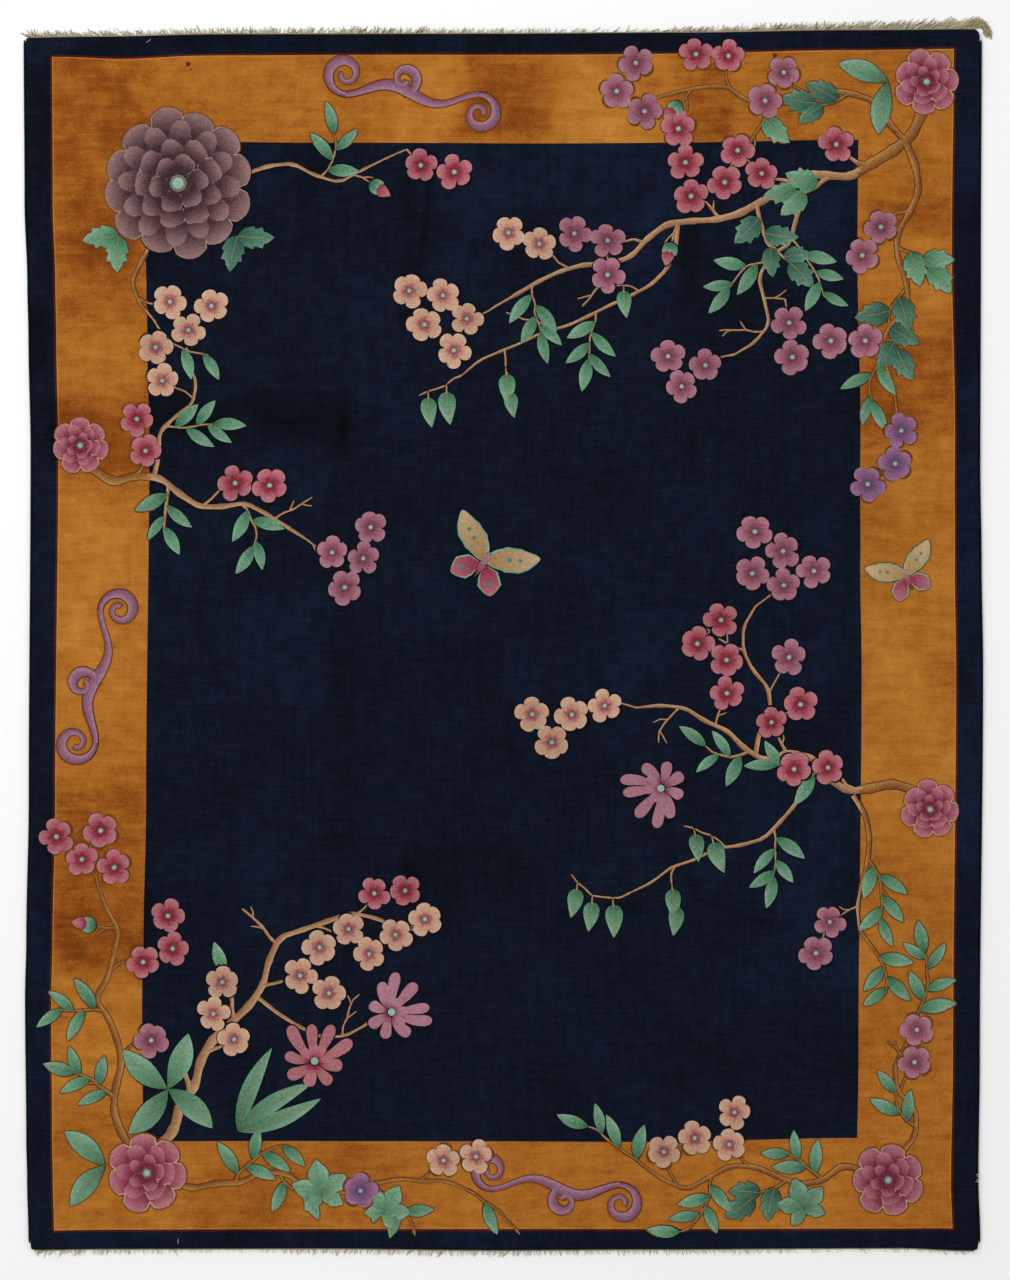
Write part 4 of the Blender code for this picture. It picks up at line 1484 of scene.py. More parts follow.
# %% Flower masters
SPOONS = 9
SPOON_ROOT = 0.012
RING_STEP = 0.00035
# Each ring as the count of its petals, and their outer end, inner end and half width as shares
PEONY_RINGS = ((7, 1.0, 0.30, 0.37), (6, 0.74, 0.18, 0.30), (5, 0.48, 0.08, 0.21))
ROSETTE_RINGS = (
    (12, 1.0, 0.52, 0.245),
    (12, 0.82, 0.40, 0.20),
    (9, 0.62, 0.26, 0.19),
    (6, 0.40, 0.10, 0.16),
)


def make_bud():
    """A bud of 72 mm that points along +Y."""
    petal_line = [(0, 0.018), (0.002, 0.044), (0.0, 0.072)]
    bloom = padded_strip(petal_line, leaf_width(0.0185, 0.40), "rose_wool", BLOSSOM_STOREY, steps=8)
    parts = [Copy(bloom)]
    cup_width = leaf_width(0.0110, 0.50)
    for turn, length in ((-30, 0.040), (30, 0.040), (0, 0.032)):
        cup = padded_strip([(0, 0), (0, length)], cup_width, "jade_leaf_wool", BLOSSOM_STOREY, steps=6)
        parts.append(Copy(cup, y=0.002, turn=math.radians(turn), lift=0.0002))
    return join_copies(parts)


def make_chrysanthemum(seed):
    """A chrysanthemum of about 230 mm whose longer petals lie towards +Y."""
    chance = random.Random(seed)

    def shade_at(t, u):
        return np.clip(0.10 + 1.9 * t, 0, 0.85)

    def spoon(line, width_at, steps):
        return padded_strip(line, width_at, "rose_wool", BLOSSOM_STOREY, shade_at, steps=steps)

    parts = []
    for number in range(SPOONS):
        turn = 2 * math.pi * (number + 0.5) / SPOONS + chance.uniform(-0.07, 0.07)
        length = 0.086 + 0.022 * math.cos(turn) + chance.uniform(-0.014, 0.014)
        curl = 0.026 * math.sin(turn) + chance.uniform(-0.010, 0.010)
        shares = np.linspace(0, 1, 8)
        line = [(curl * share**2.2, SPOON_ROOT + (length - SPOON_ROOT) * share) for share in shares]
        width_at = spoon_width(chance.uniform(0.0140, 0.0168), 0.24, 0.78)
        petal = spoon(line, width_at, 10)
        tone = chance.uniform(-0.06, 0.06)
        parts.append(Copy(petal, turn=turn, lift=0.00003 * (number % 3), tone=tone))
    for middle_turn in (-66, -22, 22, 66):
        turn = math.radians(middle_turn + chance.uniform(-5, 5))
        petal = spoon([(0, 0.008), (0.003, 0.048)], spoon_width(0.0120, 0.40, 0.66), 8)
        parts.append(Copy(petal, turn=turn, lift=0.0003))
    parts.append(Copy(round_disc(0.0100, "mint_heart_wool", BLOSSOM_RISE + 0.0017, 12)))
    return join_copies(parts)


def scalloped_width(half, lobes=2.5, depth=0.10):
    """A broad petal whose outer end is scalloped."""

    def width_at(t):
        swell = math.sqrt(max(0.0, 4 * t**1.2 * (1 - t**1.2)))
        return half * swell * (1 - depth * abs(math.sin(lobes * math.pi * t)))

    return width_at


def make_peony(radius, rings, wool, seed):
    """A peony made of rings of broad petals, each ring smaller and a little higher."""
    chance = random.Random(seed)

    def shade_at(t, u):
        return np.clip(1.7 * t - 0.62 + 0.08 * u, 0, 1)

    parts = [Copy(round_disc(0.6 * radius, wool, BLOSSOM_RISE + 0.0004, 40))]
    for ring, (count, outer, inner, half) in enumerate(rings):
        for number in range(count):
            turn = 2 * math.pi * (number + 0.5 * (ring % 2)) / count + chance.uniform(-0.04, 0.04)
            reach = radius * outer * chance.uniform(0.96, 1.03)
            line = [(0, radius * inner), (0, reach)]
            width_at = scalloped_width(radius * half)
            petal = padded_strip(line, width_at, wool, BLOSSOM_STOREY, shade_at, steps=10, across=6)
            lift = RING_STEP * ring + 0.00003 * (number % 2)
            tone = chance.uniform(-0.05, 0.05) - 0.03 * ring
            parts.append(Copy(petal, turn=turn, lift=lift, tone=tone))
    rise = BLOSSOM_RISE + RING_STEP * len(rings) + 0.0012
    heart = round_disc(0.115 * radius, "heart_ring_wool", rise, 14)
    dot = round_disc(0.075 * radius, "mint_heart_wool", rise + 0.0003, 12)
    return join_copies(parts + [Copy(heart), Copy(dot)])


bud = make_bud()
rose_chrysanthemum = make_chrysanthemum(4)
mauve_chrysanthemum = repainted(make_chrysanthemum(9), rose_wool="mauve_wool")
peony = make_peony(0.100, PEONY_RINGS, "peony_wool", 6)
rosette = make_peony(0.215, ROSETTE_RINGS, "rosette_wool", 8)
print("faces of a chrysanthemum:", len(rose_chrysanthemum.faces))
print("faces of the rosette:", len(rosette.faces))

# %% [markdown]
# ## A butterfly and a cloud scroll
#
# The butterfly has a pair of long upper wings and a pair of round lower ones with a pale green
# outline, which is the rim value at work. The cloud scroll is the old border filler of Chinese
# weavers: curls that share one stem. A curl is a spiral, so a formula gives its line.

# %% Butterfly and scroll masters
def wing_width(half, lean):
    """A wing that opens quickly from the body and narrows to its tip."""

    def width_at(t):
        return half * math.sin(math.pi * t**lean) ** 0.7 * (1 - 0.12 * abs(math.sin(3 * math.pi * t)))

    return width_at


UPPER_WING = ((0.006, 0.010), (0.045, 0.045), (0.090, 0.066), (0.132, 0.102))
LOWER_WING = ((0.005, 0.0), (0.038, -0.026), (0.066, -0.066))
FEELER = [(0.004 + 0.030 * s, 0.036 + 0.055 * s - 0.03 * s**3) for s in np.linspace(0, 1, 8)]
HOOK = [(0.034 + 0.007 * math.sin(a), 0.054 + 0.007 * math.cos(a)) for a in (1.6, 2.6, 3.8, 5.0)]
BODY = ((0, -0.046), (0, 0.0), (0, 0.042))
# Each spot as its place on the right side and its radius
WING_SPOTS = ((0.060, 0.052, 0.0062), (0.086, 0.066, 0.0056), (0.046, -0.036, 0.0070))


def make_butterfly():
    """A butterfly about 270 mm across, its head towards +Y."""

    def pad(side, line, width_at, wool, steps, across):
        turned = [(side * x, y) for x, y in line]
        return padded_strip(turned, width_at, wool, BLOSSOM_STOREY, steps=steps, across=across)

    parts = []
    for side in (-1, 1):
        upper = pad(side, UPPER_WING, wing_width(0.0400, 0.94), "butter_wing_wool", 12, 6)
        lower = pad(side, LOWER_WING, wing_width(0.0360, 1.15), "rose_wing_wool", 10, 6)
        feeler = pad(side, FEELER + HOOK, lambda t: 0.0036 - 0.0014 * t, "mint_heart_wool", 16, 2)
        parts += [Copy(lower), Copy(upper, lift=0.00025), Copy(feeler)]
        for x, y, radius in WING_SPOTS:
            spot = round_disc(radius, "teal_wool", BLOSSOM_RISE + 0.0018, 10)
            parts.append(Copy(spot, side * x, y))
    body = pad(1, BODY, leaf_width(0.0095, 0.62), "mauve_wool", 10, 4)
    parts.append(Copy(body, lift=0.0005))
    return join_copies(parts)


def curl_line(x, y, radius, turns, start, side):
    """A spiral that winds in to a point from its widest place."""
    line = []
    steps = round(22 * turns)
    for number in range(steps + 1):
        share = number / steps
        angle = start + side * 2 * math.pi * turns * share
        reach = radius * (1 - 0.80 * share)
        line.append((x + reach * math.cos(angle), y + reach * math.sin(angle)))
    return line


Curl = namedtuple("Curl", "x y radius turns start side")
STEM_HALF = 0.16
CURLS_ON_STEM = (
    Curl(-STEM_HALF, 0.048, 0.048, 1.30, -math.pi / 2, -1),
    Curl(STEM_HALF, -0.046, 0.046, 1.30, math.pi / 2, -1),
    Curl(-0.02, 0.036, 0.036, 1.15, -math.pi / 2, 1),
)


def make_scroll():
    """A wavy stem that ends in a curl at either side and throws a third, about 420 mm long."""

    def shade_at(t, u):
        return 0.5 + 0.45 * u

    def band(line, thick, steps):
        def width_at(t):
            return thick * (0.42 + 0.58 * math.sin(math.pi * min(1, t * 1.1 + 0.04)) ** 2)

        return padded_strip(line, width_at, "mauve_scroll_wool", LEAF_STOREY, shade_at, steps=steps)

    def stem_place(share):
        wave = 0.030 * math.sin(2 * math.pi * share) * math.sin(math.pi * share)
        return (STEM_HALF * (2 * share - 1), wave)

    stem = [stem_place(share) for share in np.linspace(0, 1, 40)]
    parts = [Copy(band(stem, 0.0125, 36))]
    for number, curl in enumerate(CURLS_ON_STEM):
        parts.append(Copy(band(curl_line(*curl), 0.0115, 34), lift=0.00012 + 0.0001 * number))
    return join_copies(parts)


butterfly = make_butterfly()
scroll = make_scroll()
print("faces of a butterfly:", len(butterfly.faces), "and of a scroll:", len(scroll.faces))

# %% [markdown]
# ## Boughs and what grows on them
#
# The sprays follow a rule that a gardener knows. A bough runs through a few given points,
# kinks every few centimetres as old plum wood does, and thins towards its tip. Twigs leave it left
# and right by turns, and each carries a group of blossoms, a bud, a row of leaves or nothing. A
# short list says what grows on each bough from its foot to its tip. Seeded chance gives the angles.
# Every blossom and leaf keeps clear of the others and stays on the carpet.

# %% Wood of a spray
KINK_SPACING = 0.070
KINK_BEND = 0.011
CORNER_CUT = 0.18
WOOD_STEP = 0.011
TWIG_STEP = 0.028
garden = {"boughs": [], "leaves": [], "blossoms": []}


def ahead_of(place, heading, reach):
    """The point that lies reach away from a place along a heading."""
    return (place[0] + reach * math.cos(heading), place[1] + reach * math.sin(heading))


def smooth_route(route, per_span=10):
    """A smooth line through given points."""
    points = [route[0], *route, route[-1]]
    line = []
    for span in zip(points, points[1:], points[2:], points[3:]):
        for step in range(per_span):
            t = step / per_span
            start, end = 2 - 5 * t**2 + 3 * t**3, t + 4 * t**2 - 3 * t**3
            weights = (-t + 2 * t**2 - t**3, start, end, t**3 - t**2)
            line.append([sum(w * p[axis] for w, p in zip(weights, span)) / 2 for axis in (0, 1)])
    return line + [list(route[-1])]


def kinked(line, chance):
    """The same line with a slight kink every few centimetres."""
    length = frame_of(line, 30)[2]
    points, across, _ = frame_of(line, max(3, round(length / KINK_SPACING) + 1))
    for number in range(1, len(points) - 1):
        points[number] += across[number] * KINK_BEND * chance.uniform(0.3, 1.0) * chance.choice((-1, 1))
    rounded_line = [points[0]]
    for before, kink, after in zip(points, points[1:], points[2:]):
        rounded_line.append(kink + CORNER_CUT * (before - kink))
        rounded_line.append(kink + CORNER_CUT * (after - kink))
    return rounded_line + [points[-1]]


def place_and_heading(line, share):
    """A point of a line and the direction in which the line runs there."""
    points, across, _ = frame_of(line, 101)
    index = min(100, round(100 * share))
    return points[index], math.atan2(across[index][0], -across[index][1])


def grow_wood(line, thick, thin, chance):
    """Draws a bough or twig that thins from thick to thin, with a knot at every kink."""
    length = frame_of(line, 50)[2]
    kinks = max(1, round(length / KINK_SPACING))
    ripple = chance.uniform(0, 6.3)

    def width_at(t):
        knot = abs(math.cos(math.pi * t * kinks)) ** 8
        gnarl = 0.94 + 0.20 * knot + 0.08 * math.sin(41 * t + ripple)
        return (thick + (thin - thick) * t**0.8) / 2 * gnarl * min(1, 0.55 + 10 * (1 - t))

    def shade_at(t, u):
        return 0.5 + 0.45 * u + 0.12 * np.sin(37 * t + ripple)

    steps = max(4, round(length / WOOD_STEP))
    lift = 0.00001 * (len(garden["boughs"]) % 9)
    wood = padded_strip(line, width_at, "bough_wool", BOUGH_STOREY, shade_at, steps=steps, rounded=False)
    garden["boughs"].append(Copy(wood, lift=lift))


def twig_line(place, heading, reach, chance):
    """A short crooked line."""
    line = [tuple(place)]
    parts = max(2, round(reach / TWIG_STEP))
    bend = math.radians(chance.uniform(-14, 14))
    for number in range(parts):
        angle = heading + bend * number + math.radians(chance.uniform(-16, 16))
        line.append(ahead_of(line[-1], angle, reach / parts))
    return line


print("kinks are", round(1000 * KINK_SPACING), "mm apart")

# %% [markdown]
# ## Room for each flower and leaf
#
# The weaver's drawing leaves navy or gold round every flower. So a list holds each place that is
# taken and the room round it, and a new flower or leaf that would come too near is left out. Each is
# laid a hundredth of a millimetre or so higher than the one before, so that no two faces coincide.

# %% Laying flowers and leaves
LEAF_ROOM = 0.044
EDGE_ROOM = 0.012
taken = []


def on_carpet(x, y, room):
    clear_across = left_x(y) + room < x < right_x(y) - room
    return clear_across and bottom_y(x) + room < y < top_y(x) - room


def is_free(x, y, room):
    return all(math.hypot(x - a, y - b) > (room + other) / 2 for a, b, other in taken)


def add_flower(master, x, y, turn, size, room, chance):
    taken.append((x, y, room))
    lift = 0.000004 * len(taken)
    garden["blossoms"].append(Copy(master, x, y, turn, size, lift, chance.uniform(-0.10, 0.08)))


def add_leaf(masters, x, y, heading, size, length, chance, room=LEAF_ROOM):
    """A leaf that points along heading, if there is room for it."""
    reach = size * length
    middle = ahead_of((x, y), heading, 0.55 * reach)
    if not (is_free(*middle, room) and on_carpet(*ahead_of((x, y), heading, reach), EDGE_ROOM)):
        return
    taken.append((*middle, room))
    lift = 0.000012 * (len(garden["leaves"]) % 24)
    tone = chance.uniform(-0.12, 0.10)
    garden["leaves"].append(Copy(chance.choice(masters), x, y, heading - math.pi / 2, size, lift, tone))


print("a leaf keeps", round(1000 * LEAF_ROOM), "mm from the next")

# %% [markdown]
# ## What a twig carries
#
# Blossoms crowd round the end of a twig, each a blossom's width from one that is there already.
# Leaves stand left and right along it, and drops hang straight down. A bare twig forks twice.

# %% Growing a spray
BLOSSOM_SPACING = 0.093
LeafKind = namedtuple("LeafKind", "masters step lean length")
LEAF_KINDS = {
    "leaves": LeafKind(small_leaves, 0.030, 56, 0.100),
    "toothed": LeafKind(toothed_leaves, 0.046, 62, 0.104),
    "deep": LeafKind(deep_toothed_leaves, 0.046, 62, 0.104),
    "drops": LeafKind(drop_leaves, 0.060, 0, 0.112),
}
THINNEST_TWIG = 0.0045
THINNEST_FOOT = 0.0055
THINNEST_TIP = 0.004
BUD_ROOM = 0.05
FORKS = {"bare": (0.40, 0.72), "bud": (0.55,)}
FORK_CHANCE = 0.25
FIRST_BACK = 0.052
ATTEMPTS = 80
STALK_THICK, STALK_THIN = 0.0055, 0.0045


def grow_blossoms(kind, count, x, y, heading, chance):
    """A close group of blossoms round the end of a twig."""
    group = []
    for _ in range(count):
        anchors = group or [ahead_of((x, y), heading, -FIRST_BACK)]
        for attempt in range(ATTEMPTS):
            base = chance.choice(anchors)
            spread = 0.15 + 0.01 * attempt if not group else 1.0 + 0.02 * attempt
            angle = heading + chance.gauss(0, spread)
            size = chance.uniform(0.94, 1.06)
            room = BLOSSOM_SPACING * size
            spot = ahead_of(base, angle, room)
            if is_free(*spot, room) and on_carpet(*spot, 0.5 * room + EDGE_ROOM):
                stalk_foot = base if group else (x, y)
                grow_wood([stalk_foot, spot], STALK_THICK, STALK_THIN, chance)
                blossom = chance.choice(BLOSSOMS[kind])
                add_flower(blossom, *spot, chance.uniform(0, 6.3), size, room, chance)
                group.append(spot)
                break


def grow_leaves(kind, count, line, chance):
    """Leaves by turns left and right of a twig and one at its end, or drops that hang down."""
    leaf = LEAF_KINDS[kind]
    total = count if kind == "drops" else 2 * count
    side = chance.choice((-1, 1))
    for number in range(total):
        share = (number + 0.9) / (total + 0.4)
        (x, y), heading = place_and_heading(line, share)
        size = chance.uniform(0.90, 1.06) * (1.04 - 0.20 * share)
        angle = heading + side * math.radians(leaf.lean + chance.uniform(-6, 6) - 16 * share)
        if kind == "drops":
            angle = math.radians(-90 + chance.gauss(0, 9))
        add_leaf(leaf.masters, x, y, angle, size, leaf.length, chance)
        side = -side
    (x, y), heading = place_and_heading(line, 1.0)
    if kind != "drops":
        add_leaf(leaf.masters, x, y, heading + chance.gauss(0, 0.1), 0.95, leaf.length, chance)


def grow_twig(place, heading, kind, count, thin, chance):
    """A twig and what grows at its end or along it."""
    reach = chance.uniform(0.040, 0.070)
    if kind in LEAF_KINDS:
        reach = 0.016 + LEAF_KINDS[kind].step * (count if kind == "drops" else 2 * count)
    if kind == "bare":
        reach = chance.uniform(0.11, 0.15)
    line = twig_line(place, heading, reach, chance)
    tip_width = max(THINNEST_TWIG, thin * 0.6)
    grow_wood(line, thin * 1.05, tip_width, chance)
    (x, y), end_heading = place_and_heading(line, 1.0)
    if kind in BLOSSOMS:
        grow_blossoms(kind, count, x, y, end_heading, chance)
    elif kind in LEAF_KINDS:
        grow_leaves(kind, count, line, chance)
    elif kind == "bud" and is_free(x, y, BUD_ROOM):
        add_flower(bud, x, y, end_heading - math.pi / 2, 1.0, BUD_ROOM, chance)
    usual_forks = (0.5,) if chance.random() < FORK_CHANCE else ()
    side = chance.choice((-1, 1))
    for share in FORKS.get(kind, usual_forks):
        fork, fork_heading = place_and_heading(line, share)
        lean = side * math.radians(chance.uniform(38, 55))
        small_twig = twig_line(fork, fork_heading + lean, chance.uniform(0.028, 0.046), chance)
        grow_wood(small_twig, tip_width, THINNEST_TIP, chance)
        side = -side


def grow_spray(bough, seed):
    """One bough with everything on it. Its words say what grows there, from its foot to its tip."""
    chance = random.Random(seed)
    grows = [words.split() for words in bough.grows.split(", ")]
    line = kinked(smooth_route(bough.route), chance)
    grow_wood(line, bough.thick, bough.thin, chance)
    side = bough.first_side
    for number, (kind, count) in enumerate(grows):
        share = bough.bare_foot + (1 - bough.bare_foot) * (number + 1) / len(grows)
        place, heading = place_and_heading(line, share)
        thin = max(THINNEST_FOOT, (bough.thick + (bough.thin - bough.thick) * share) * 0.55)
        last = number == len(grows) - 1
        lean = chance.uniform(-10, 10) if last else side * chance.uniform(44, 66)
        grow_twig(place, heading + math.radians(lean), kind, int(count), thin, chance)
        side = -side


print("kinds of leaf on a twig:", ", ".join(LEAF_KINDS))

# %% [markdown]
# ## The layout
#
# This is a plain arrangement of ordinary flowers, in the colours and at the scale of such carpets:
# a large spray hangs from the upper right corner, a large one rises from the lower left, smaller
# ones come in from the sides, and a rosette fills the upper left corner of the field. Listed
# flowers and fans of leaves cover the foot of each bough. Two butterflies, three scrolls in the
# border and three small stains have listed places as well.

# %% Boughs
Bough = namedtuple("Bough", "thick thin first_side route grows bare_foot", defaults=(0.12,))
BOUGHS = (
    # upper right corner
    Bough(
        0.032, 0.009, -1,
        (
            (1.21, 1.58), (1.15, 1.43), (1.00, 1.34), (0.85, 1.33), (0.68, 1.22),
            (0.50, 1.20), (0.32, 1.08), (0.14, 1.06), (-0.02, 0.96),
        ),
        "rose 1, toothed 1, rose 3, deep 2, rose 3, bud 1, mauve 3, bare 0, peach 2, leaves 2, peach 5",
    ),
    Bough(
        0.017, 0.007, 1,
        ((1.15, 1.43), (1.05, 1.54), (0.90, 1.57), (0.75, 1.54), (0.58, 1.59), (0.42, 1.55)),
        "deep 1, mauve 2, toothed 2, rose 2, bud 1, mauve 3",
    ),
    Bough(
        0.019, 0.007, -1,
        ((1.15, 1.43), (1.18, 1.28), (1.11, 1.14), (1.16, 0.98), (1.08, 0.84), (1.12, 0.70)),
        "mauve 2, toothed 1, deep 2, mauve 3, leaves 2, violet 3",
    ),
    Bough(
        0.015, 0.007, 1,
        ((0.85, 1.33), (0.84, 1.18), (0.74, 1.06), (0.76, 0.92), (0.66, 0.82)),
        "leaves 3, leaves 2, mauve 2, bare 0, mauve 3",
    ),
    Bough(
        0.012, 0.006, -1,
        ((0.50, 1.20), (0.46, 1.06), (0.34, 0.98), (0.20, 0.90), (0.04, 0.86), (-0.12, 0.76)),
        "drops 1, leaves 2, drops 2, drops 2, drops 2",
    ),
    # left side, above the middle
    Bough(
        0.027, 0.008, 1,
        ((-1.22, 0.55), (-1.12, 0.46), (-1.00, 0.47), (-0.86, 0.37), (-0.72, 0.39), (-0.56, 0.29)),
        "rose 2, leaves 2, rose 3, leaves 2, bare 0, mauve 4",
    ),
    Bough(
        0.014, 0.007, -1,
        ((-1.00, 0.47), (-0.98, 0.60), (-0.88, 0.68), (-0.90, 0.80)),
        "leaves 2, peach 2, peach 3",
    ),
    # lower left corner
    Bough(
        0.022, 0.008, 1,
        ((-1.02, -1.52), (-1.12, -1.36), (-1.08, -1.18), (-1.16, -1.02), (-1.10, -0.86), (-1.16, -0.70)),
        "leaves 2, mauve 2, leaves 2, rose 3, bud 1, rose 4",
    ),
    Bough(
        0.036, 0.009, 1,
        (
            (-1.02, -1.52), (-0.92, -1.34), (-0.84, -1.16), (-0.70, -1.02),
            (-0.64, -0.86), (-0.46, -0.78), (-0.30, -0.82),
        ),
        "bare 0, peach 3, leaves 2, peach 3, bare 0, peach 4, rose 2, peach 4",
    ),
    Bough(
        0.018, 0.007, 1,
        ((-1.02, -1.52), (-0.84, -1.56), (-0.66, -1.52), (-0.48, -1.58), (-0.30, -1.53), (-0.10, -1.57)),
        "leaves 3, leaves 2, violet 1, leaves 3, peach 2, leaves 3",
    ),
    # right side, below the middle
    Bough(
        0.028, 0.008, -1,
        (
            (1.22, -0.48), (1.12, -0.40), (1.00, -0.44), (0.86, -0.33),
            (0.72, -0.33), (0.56, -0.21), (0.38, -0.19),
        ),
        "rose 2, leaves 2, rose 2, leaves 2, rose 4, bare 0, peach 4",
    ),
    # one more in the lower left corner
    Bough(
        0.012, 0.006, 1,
        ((-0.70, -1.02), (-0.60, -1.10), (-0.46, -1.12), (-0.34, -1.05)),
        "bare 0, leaves 1",
        0.3,
    ),
    # off the bough on the right side
    Bough(
        0.014, 0.006, 1,
        ((0.86, -0.33), (0.84, -0.48), (0.70, -0.58), (0.54, -0.62), (0.36, -0.72)),
        "leaves 2, drops 2, drops 2, drops 3",
    ),
    Bough(
        0.014, 0.007, 1,
        ((1.00, -0.44), (1.06, -0.60), (1.00, -0.74), (1.06, -0.88)),
        "leaves 3, mauve 2, leaves 2",
    ),
    Bough(
        0.014, 0.007, -1,
        ((0.72, -0.33), (0.76, -0.16), (0.68, -0.04), (0.72, 0.10)),
        "mauve 2, bare 0, mauve 5",
    ),
    # lower right corner
    Bough(
        0.018, 0.007, -1,
        ((1.10, -1.54), (0.98, -1.50), (0.84, -1.56), (0.68, -1.50), (0.54, -1.56), (0.40, -1.50)),
        "leaves 2, deep 1, peach 2, leaves 3, peach 2, leaves 3",
    ),
    Bough(
        0.015, 0.007, 1,
        ((1.10, -1.54), (1.18, -1.38), (1.12, -1.24), (1.18, -1.08)),
        "leaves 2, mauve 2, bud 1, leaves 3",
    ),
    # round the rosette
    Bough(
        0.014, 0.006, 1,
        ((-0.80, 1.30), (-0.62, 1.38), (-0.48, 1.32), (-0.34, 1.38)),
        "leaves 2, bud 1, rose 2",
        0.4,
    ),
    Bough(0.014, 0.006, 1, ((-0.98, 1.20), (-1.06, 1.04), (-1.00, 0.92)), "deep 1, leaves 3", 0.5),
)
print("boughs:", len(BOUGHS))

# %% [markdown]
# ## Flowers placed one by one
#
# A peony or the rosette covers the foot of each spray, where a weaver hides how it begins.
# The rest of the border and field is filled with single flowers, two butterflies and three scrolls.
# They are laid first, because the sprays have to leave them room.

# %% Layout
FIRST_SEED = 40
Flower = namedtuple("Flower", "master x y turn size room")
FLOWERS = (
    Flower(rosette, -0.93, 1.31, 0.2, 1.0, 0.44),
    Flower(peony, 1.21, 1.60, 0.3, 0.95, 0.19),
    Flower(peony, -1.21, 0.56, 0.9, 0.82, 0.17),
    Flower(peony, -1.02, -1.52, 1.0, 1.15, 0.23),
    Flower(peony, 1.22, -0.48, 0.1, 0.85, 0.17),
    Flower(peony, 1.10, -1.54, 0.7, 1.05, 0.21),
    Flower(rose_chrysanthemum, -0.54, -1.20, math.radians(-10), 1.10, 0.21),
    Flower(mauve_chrysanthemum, -0.32, -1.06, math.radians(-60), 1.05, 0.20),
    Flower(mauve_chrysanthemum, 0.45, -0.42, math.radians(120), 1.05, 0.20),
)
Fan = namedtuple("Fan", "masters length x y first last count size")
FANS = (
    Fan(blade_leaves, 0.250, -0.76, -1.40, 10, 80, 3, 1.0),
    Fan(broad_leaves, 0.175, -0.96, -1.28, 60, 330, 4, 0.95),
    Fan(broad_leaves, 0.175, -1.14, -1.50, 130, 220, 2, 0.85),
    Fan(broad_leaves, 0.175, 1.10, 1.60, 150, 250, 2, 0.85),
    Fan([lobed_leaf], 0.098, -0.52, -1.58, 100, 100, 1, 1.0),
    Fan([lobed_leaf], 0.098, -0.34, -1.63, 60, 60, 1, 0.85),
    Fan([lobed_leaf], 0.098, 0.86, -1.62, 110, 110, 1, 0.9),
    Fan(deep_toothed_leaves, 0.104, -0.76, 1.16, 250, 350, 3, 1.0),
    Fan(toothed_leaves, 0.104, -1.10, 1.16, 180, 260, 3, 1.0),
)
BUTTERFLIES = (
    Flower(butterfly, -0.06, 0.22, math.radians(-32), 1.0, 0.26),
    Flower(butterfly, 1.155, 0.18, math.radians(24), 0.75, 0.2),
)
SCROLLS = (
    Flower(scroll, -0.26, 1.565, 0.0, 1.20, 0.3),
    Flower(scroll, -1.16, -0.10, math.radians(88), 1.20, 0.3),
    Flower(scroll, 0.15, -1.56, math.radians(182), 1.15, 0.3),
)


Stain = namedtuple("Stain", "x y radius")
STAINS = (Stain(-0.902, 1.651, 0.0070), Stain(0.776, 1.676, 0.0062), Stain(-0.895, 1.636, 0.0030))


def make_stain(radius):
    """A few knots of pile that took up something dark."""
    return disc(lambda angle: radius * (1 + 0.2 * math.sin(3 * angle + 1)), "stained_wool", 0.0003, 14)


FAN_LEAF_ROOM = 0.05
SCROLL_LIFT = 0.0001


def plant_everything():
    """Lays what has its place by hand, and then grows every spray."""
    chance = random.Random(3)
    for flower in FLOWERS + BUTTERFLIES:
        add_flower(flower.master, flower.x, flower.y, flower.turn, flower.size, flower.room, chance)
    for curl in SCROLLS:
        taken.append((curl.x, curl.y, curl.room))
        garden["leaves"].append(Copy(curl.master, curl.x, curl.y, curl.turn, curl.size, SCROLL_LIFT))
    for fan in FANS:
        for turn in np.linspace(fan.first, fan.last, fan.count):
            heading = math.radians(turn)
            add_leaf(fan.masters, fan.x, fan.y, heading, fan.size, fan.length, chance, FAN_LEAF_ROOM)
    for stain in STAINS:
        garden["leaves"].append(Copy(make_stain(stain.radius), stain.x, stain.y))
    for number, bough in enumerate(BOUGHS):
        grow_spray(bough, FIRST_SEED + number)


plant_everything()
print({name: len(copies) for name, copies in garden.items()})

# %% [markdown]
# ## Painted groove shadow in two colours
#
# The shears cut the groove into whatever pile lies there, so its painted shadow is nearly black in
# the navy field and brown in the gold border. Every face of painted groove shadow looks up which
# band it lies in.

# %% Motif pieces
def lies_on_gold(x, y):
    across = across_lines(y)
    along = along_lines(x)
    in_gold = (x > across[4]) & (x < across[-5]) & (y > along[4]) & (y < along[-5])
    in_field = (x > across[7]) & (x < across[-8]) & (y > along[7]) & (y < along[-8])
    return in_gold & ~in_field


def with_ground_colours(master):
    """Gives each painted groove shadow face and each bough face the colour of the band where it lies."""
    centres = np.array([master.points[face].mean(axis=0) for face in master.faces])
    on_gold = lies_on_gold(centres[:, 0], centres[:, 1])
    change = {SLOT[on_navy]: SLOT[gold] for on_navy, gold in ON_GOLD.items()}
    slots = [change.get(slot, slot) if gold else slot for slot, gold in zip(master.slots, on_gold)]
    return master._replace(slots=slots)


motifs = []
for name, copies in garden.items():
    joined = with_ground_colours(join_copies(copies))
    motifs.append(build_piece(f"knotted_{name}", joined, MOTIF_SLOTS, on_pile=True))
    print(name, "faces:", len(motifs[-1].data.polygons))

# %% [markdown]
# ## Fix every piece to the frame
#
# The frame knows the carpet as five solids on one body. Each piece of the look rides on that body,
# and the pile, fringes and side cords take the places of their solids. The knotted motifs lie on
# the pile. The carpet bends as one sheet, so everything on it rides on the same body as the sheet.

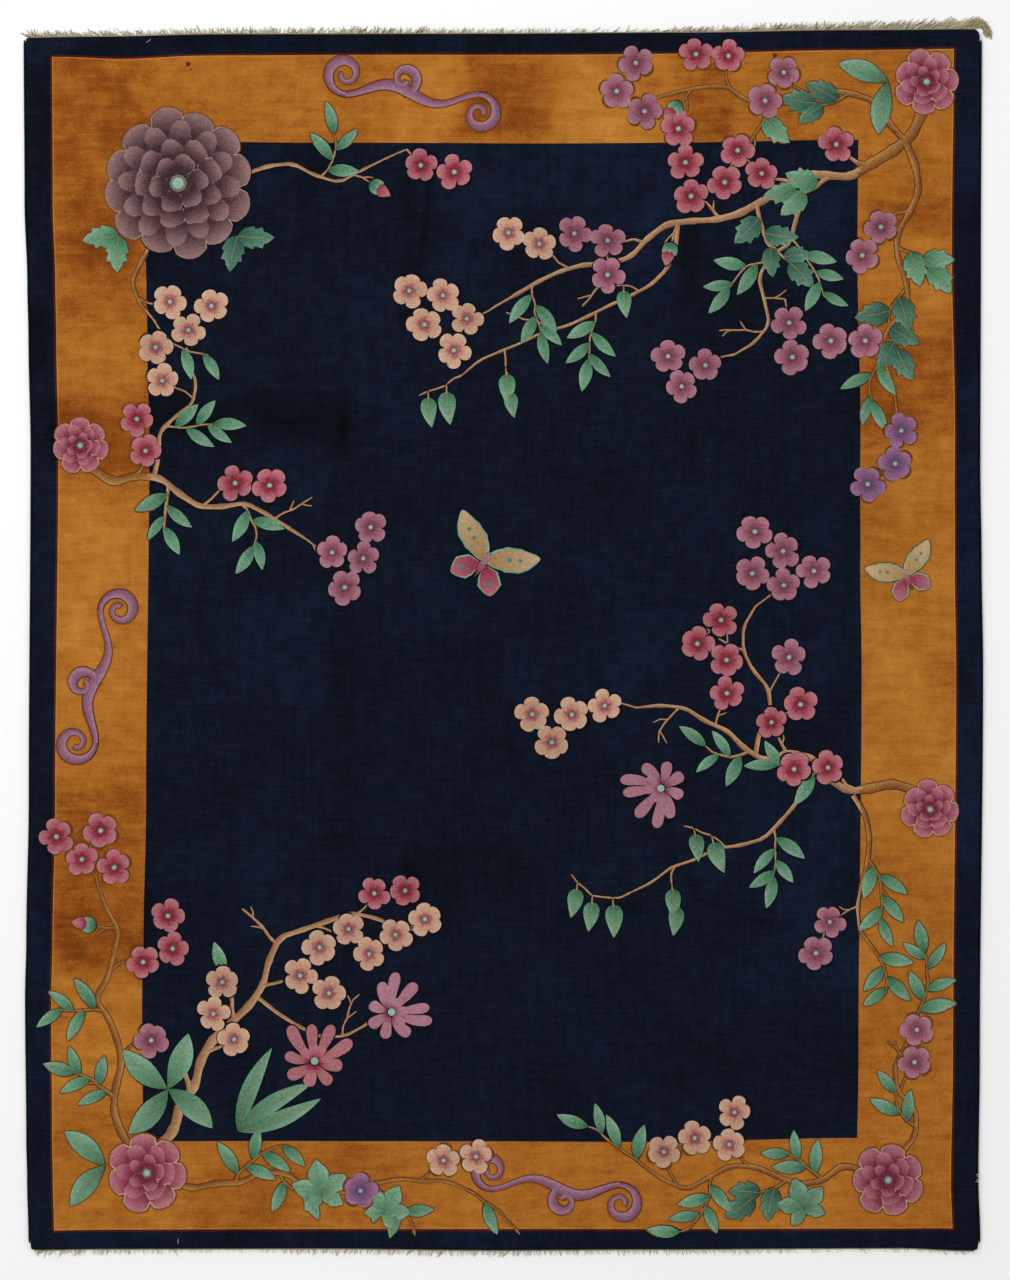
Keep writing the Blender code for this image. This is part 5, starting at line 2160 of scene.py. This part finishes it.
# %% Fix the pieces to the frame
STAND_INS = (
    (pile, "rug", "pile"),
    (fringe_top, "fringe_top", "warp"),
    (fringe_bottom, "fringe_bottom", "warp"),
    (cord_left, "selvedge_left", "overcasting"),
    (cord_right, "selvedge_right", "overcasting"),
)
for piece, node, slot in STAND_INS:
    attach(piece, "root")
    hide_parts(node)
for piece in motifs:
    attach(piece, "root")

# %% [markdown]
# ## The room round it
#
# A white floor, an even white surrounding light and one large soft lamp from the upper left. The
# lamp is low enough that the sheared grooves and the raised petals catch a little light and shade.

# %% Floor and light
FLOOR_SIZE = 40
FLOOR_GAP = 0.0002
FLOOR_WHITE = 0.90
AMBIENT_LIGHT = 0.8
LAMP_PLACE = (-4, 4, 6)
LAMP_SIZE = 5
LAMP_WATTS = 250

bpy.ops.mesh.primitive_plane_add(size=FLOOR_SIZE, location=(0, 0, -FLOOR_GAP))
floor = bpy.context.object
floor.name = "studio_floor"
paper = new_material("white_floor")
paper_inputs = {"Base Color": (FLOOR_WHITE, FLOOR_WHITE, FLOOR_WHITE, 1), "Roughness": 0.9}
set_inputs(paper, paper.node_tree.nodes["Principled BSDF"], paper_inputs)
floor.data.materials.append(paper)

world = bpy.data.worlds.new("white_surroundings")
bpy.context.scene.world = world
world.use_nodes = True
sky_inputs = {"Color": (1, 1, 1, 1), "Strength": AMBIENT_LIGHT}
set_inputs(world, world.node_tree.nodes["Background"], sky_inputs)

bpy.ops.object.light_add(type="AREA", location=LAMP_PLACE)
lamp = bpy.context.object
lamp.name = "soft_lamp"
lamp.data.size = LAMP_SIZE
lamp.data.energy = LAMP_WATTS
lamp.rotation_euler = Vector(LAMP_PLACE).to_track_quat("Z", "Y").to_euler()
bpy.context.scene.view_settings.view_transform = "Standard"
print("floor and light are set")

# %% [markdown]
# ## The camera
#
# The photograph is taken square from above, so the camera looks straight down. Its height follows
# from the lens and from how much of the floor the picture shows.

# %% Camera
LENS = 85
SENSOR_HEIGHT = 36
SEEN_LENGTH = 3.661
SEEN_MIDDLE = (-0.0032, -0.0083)
camera_height = THICKNESS + SEEN_LENGTH * LENS / SENSOR_HEIGHT

bpy.ops.object.camera_add(location=(*SEEN_MIDDLE, camera_height))
camera = bpy.context.object
camera.name = "camera_above"
camera.data.lens = LENS
bpy.context.scene.camera = camera
print("camera height:", round(camera_height, 3))
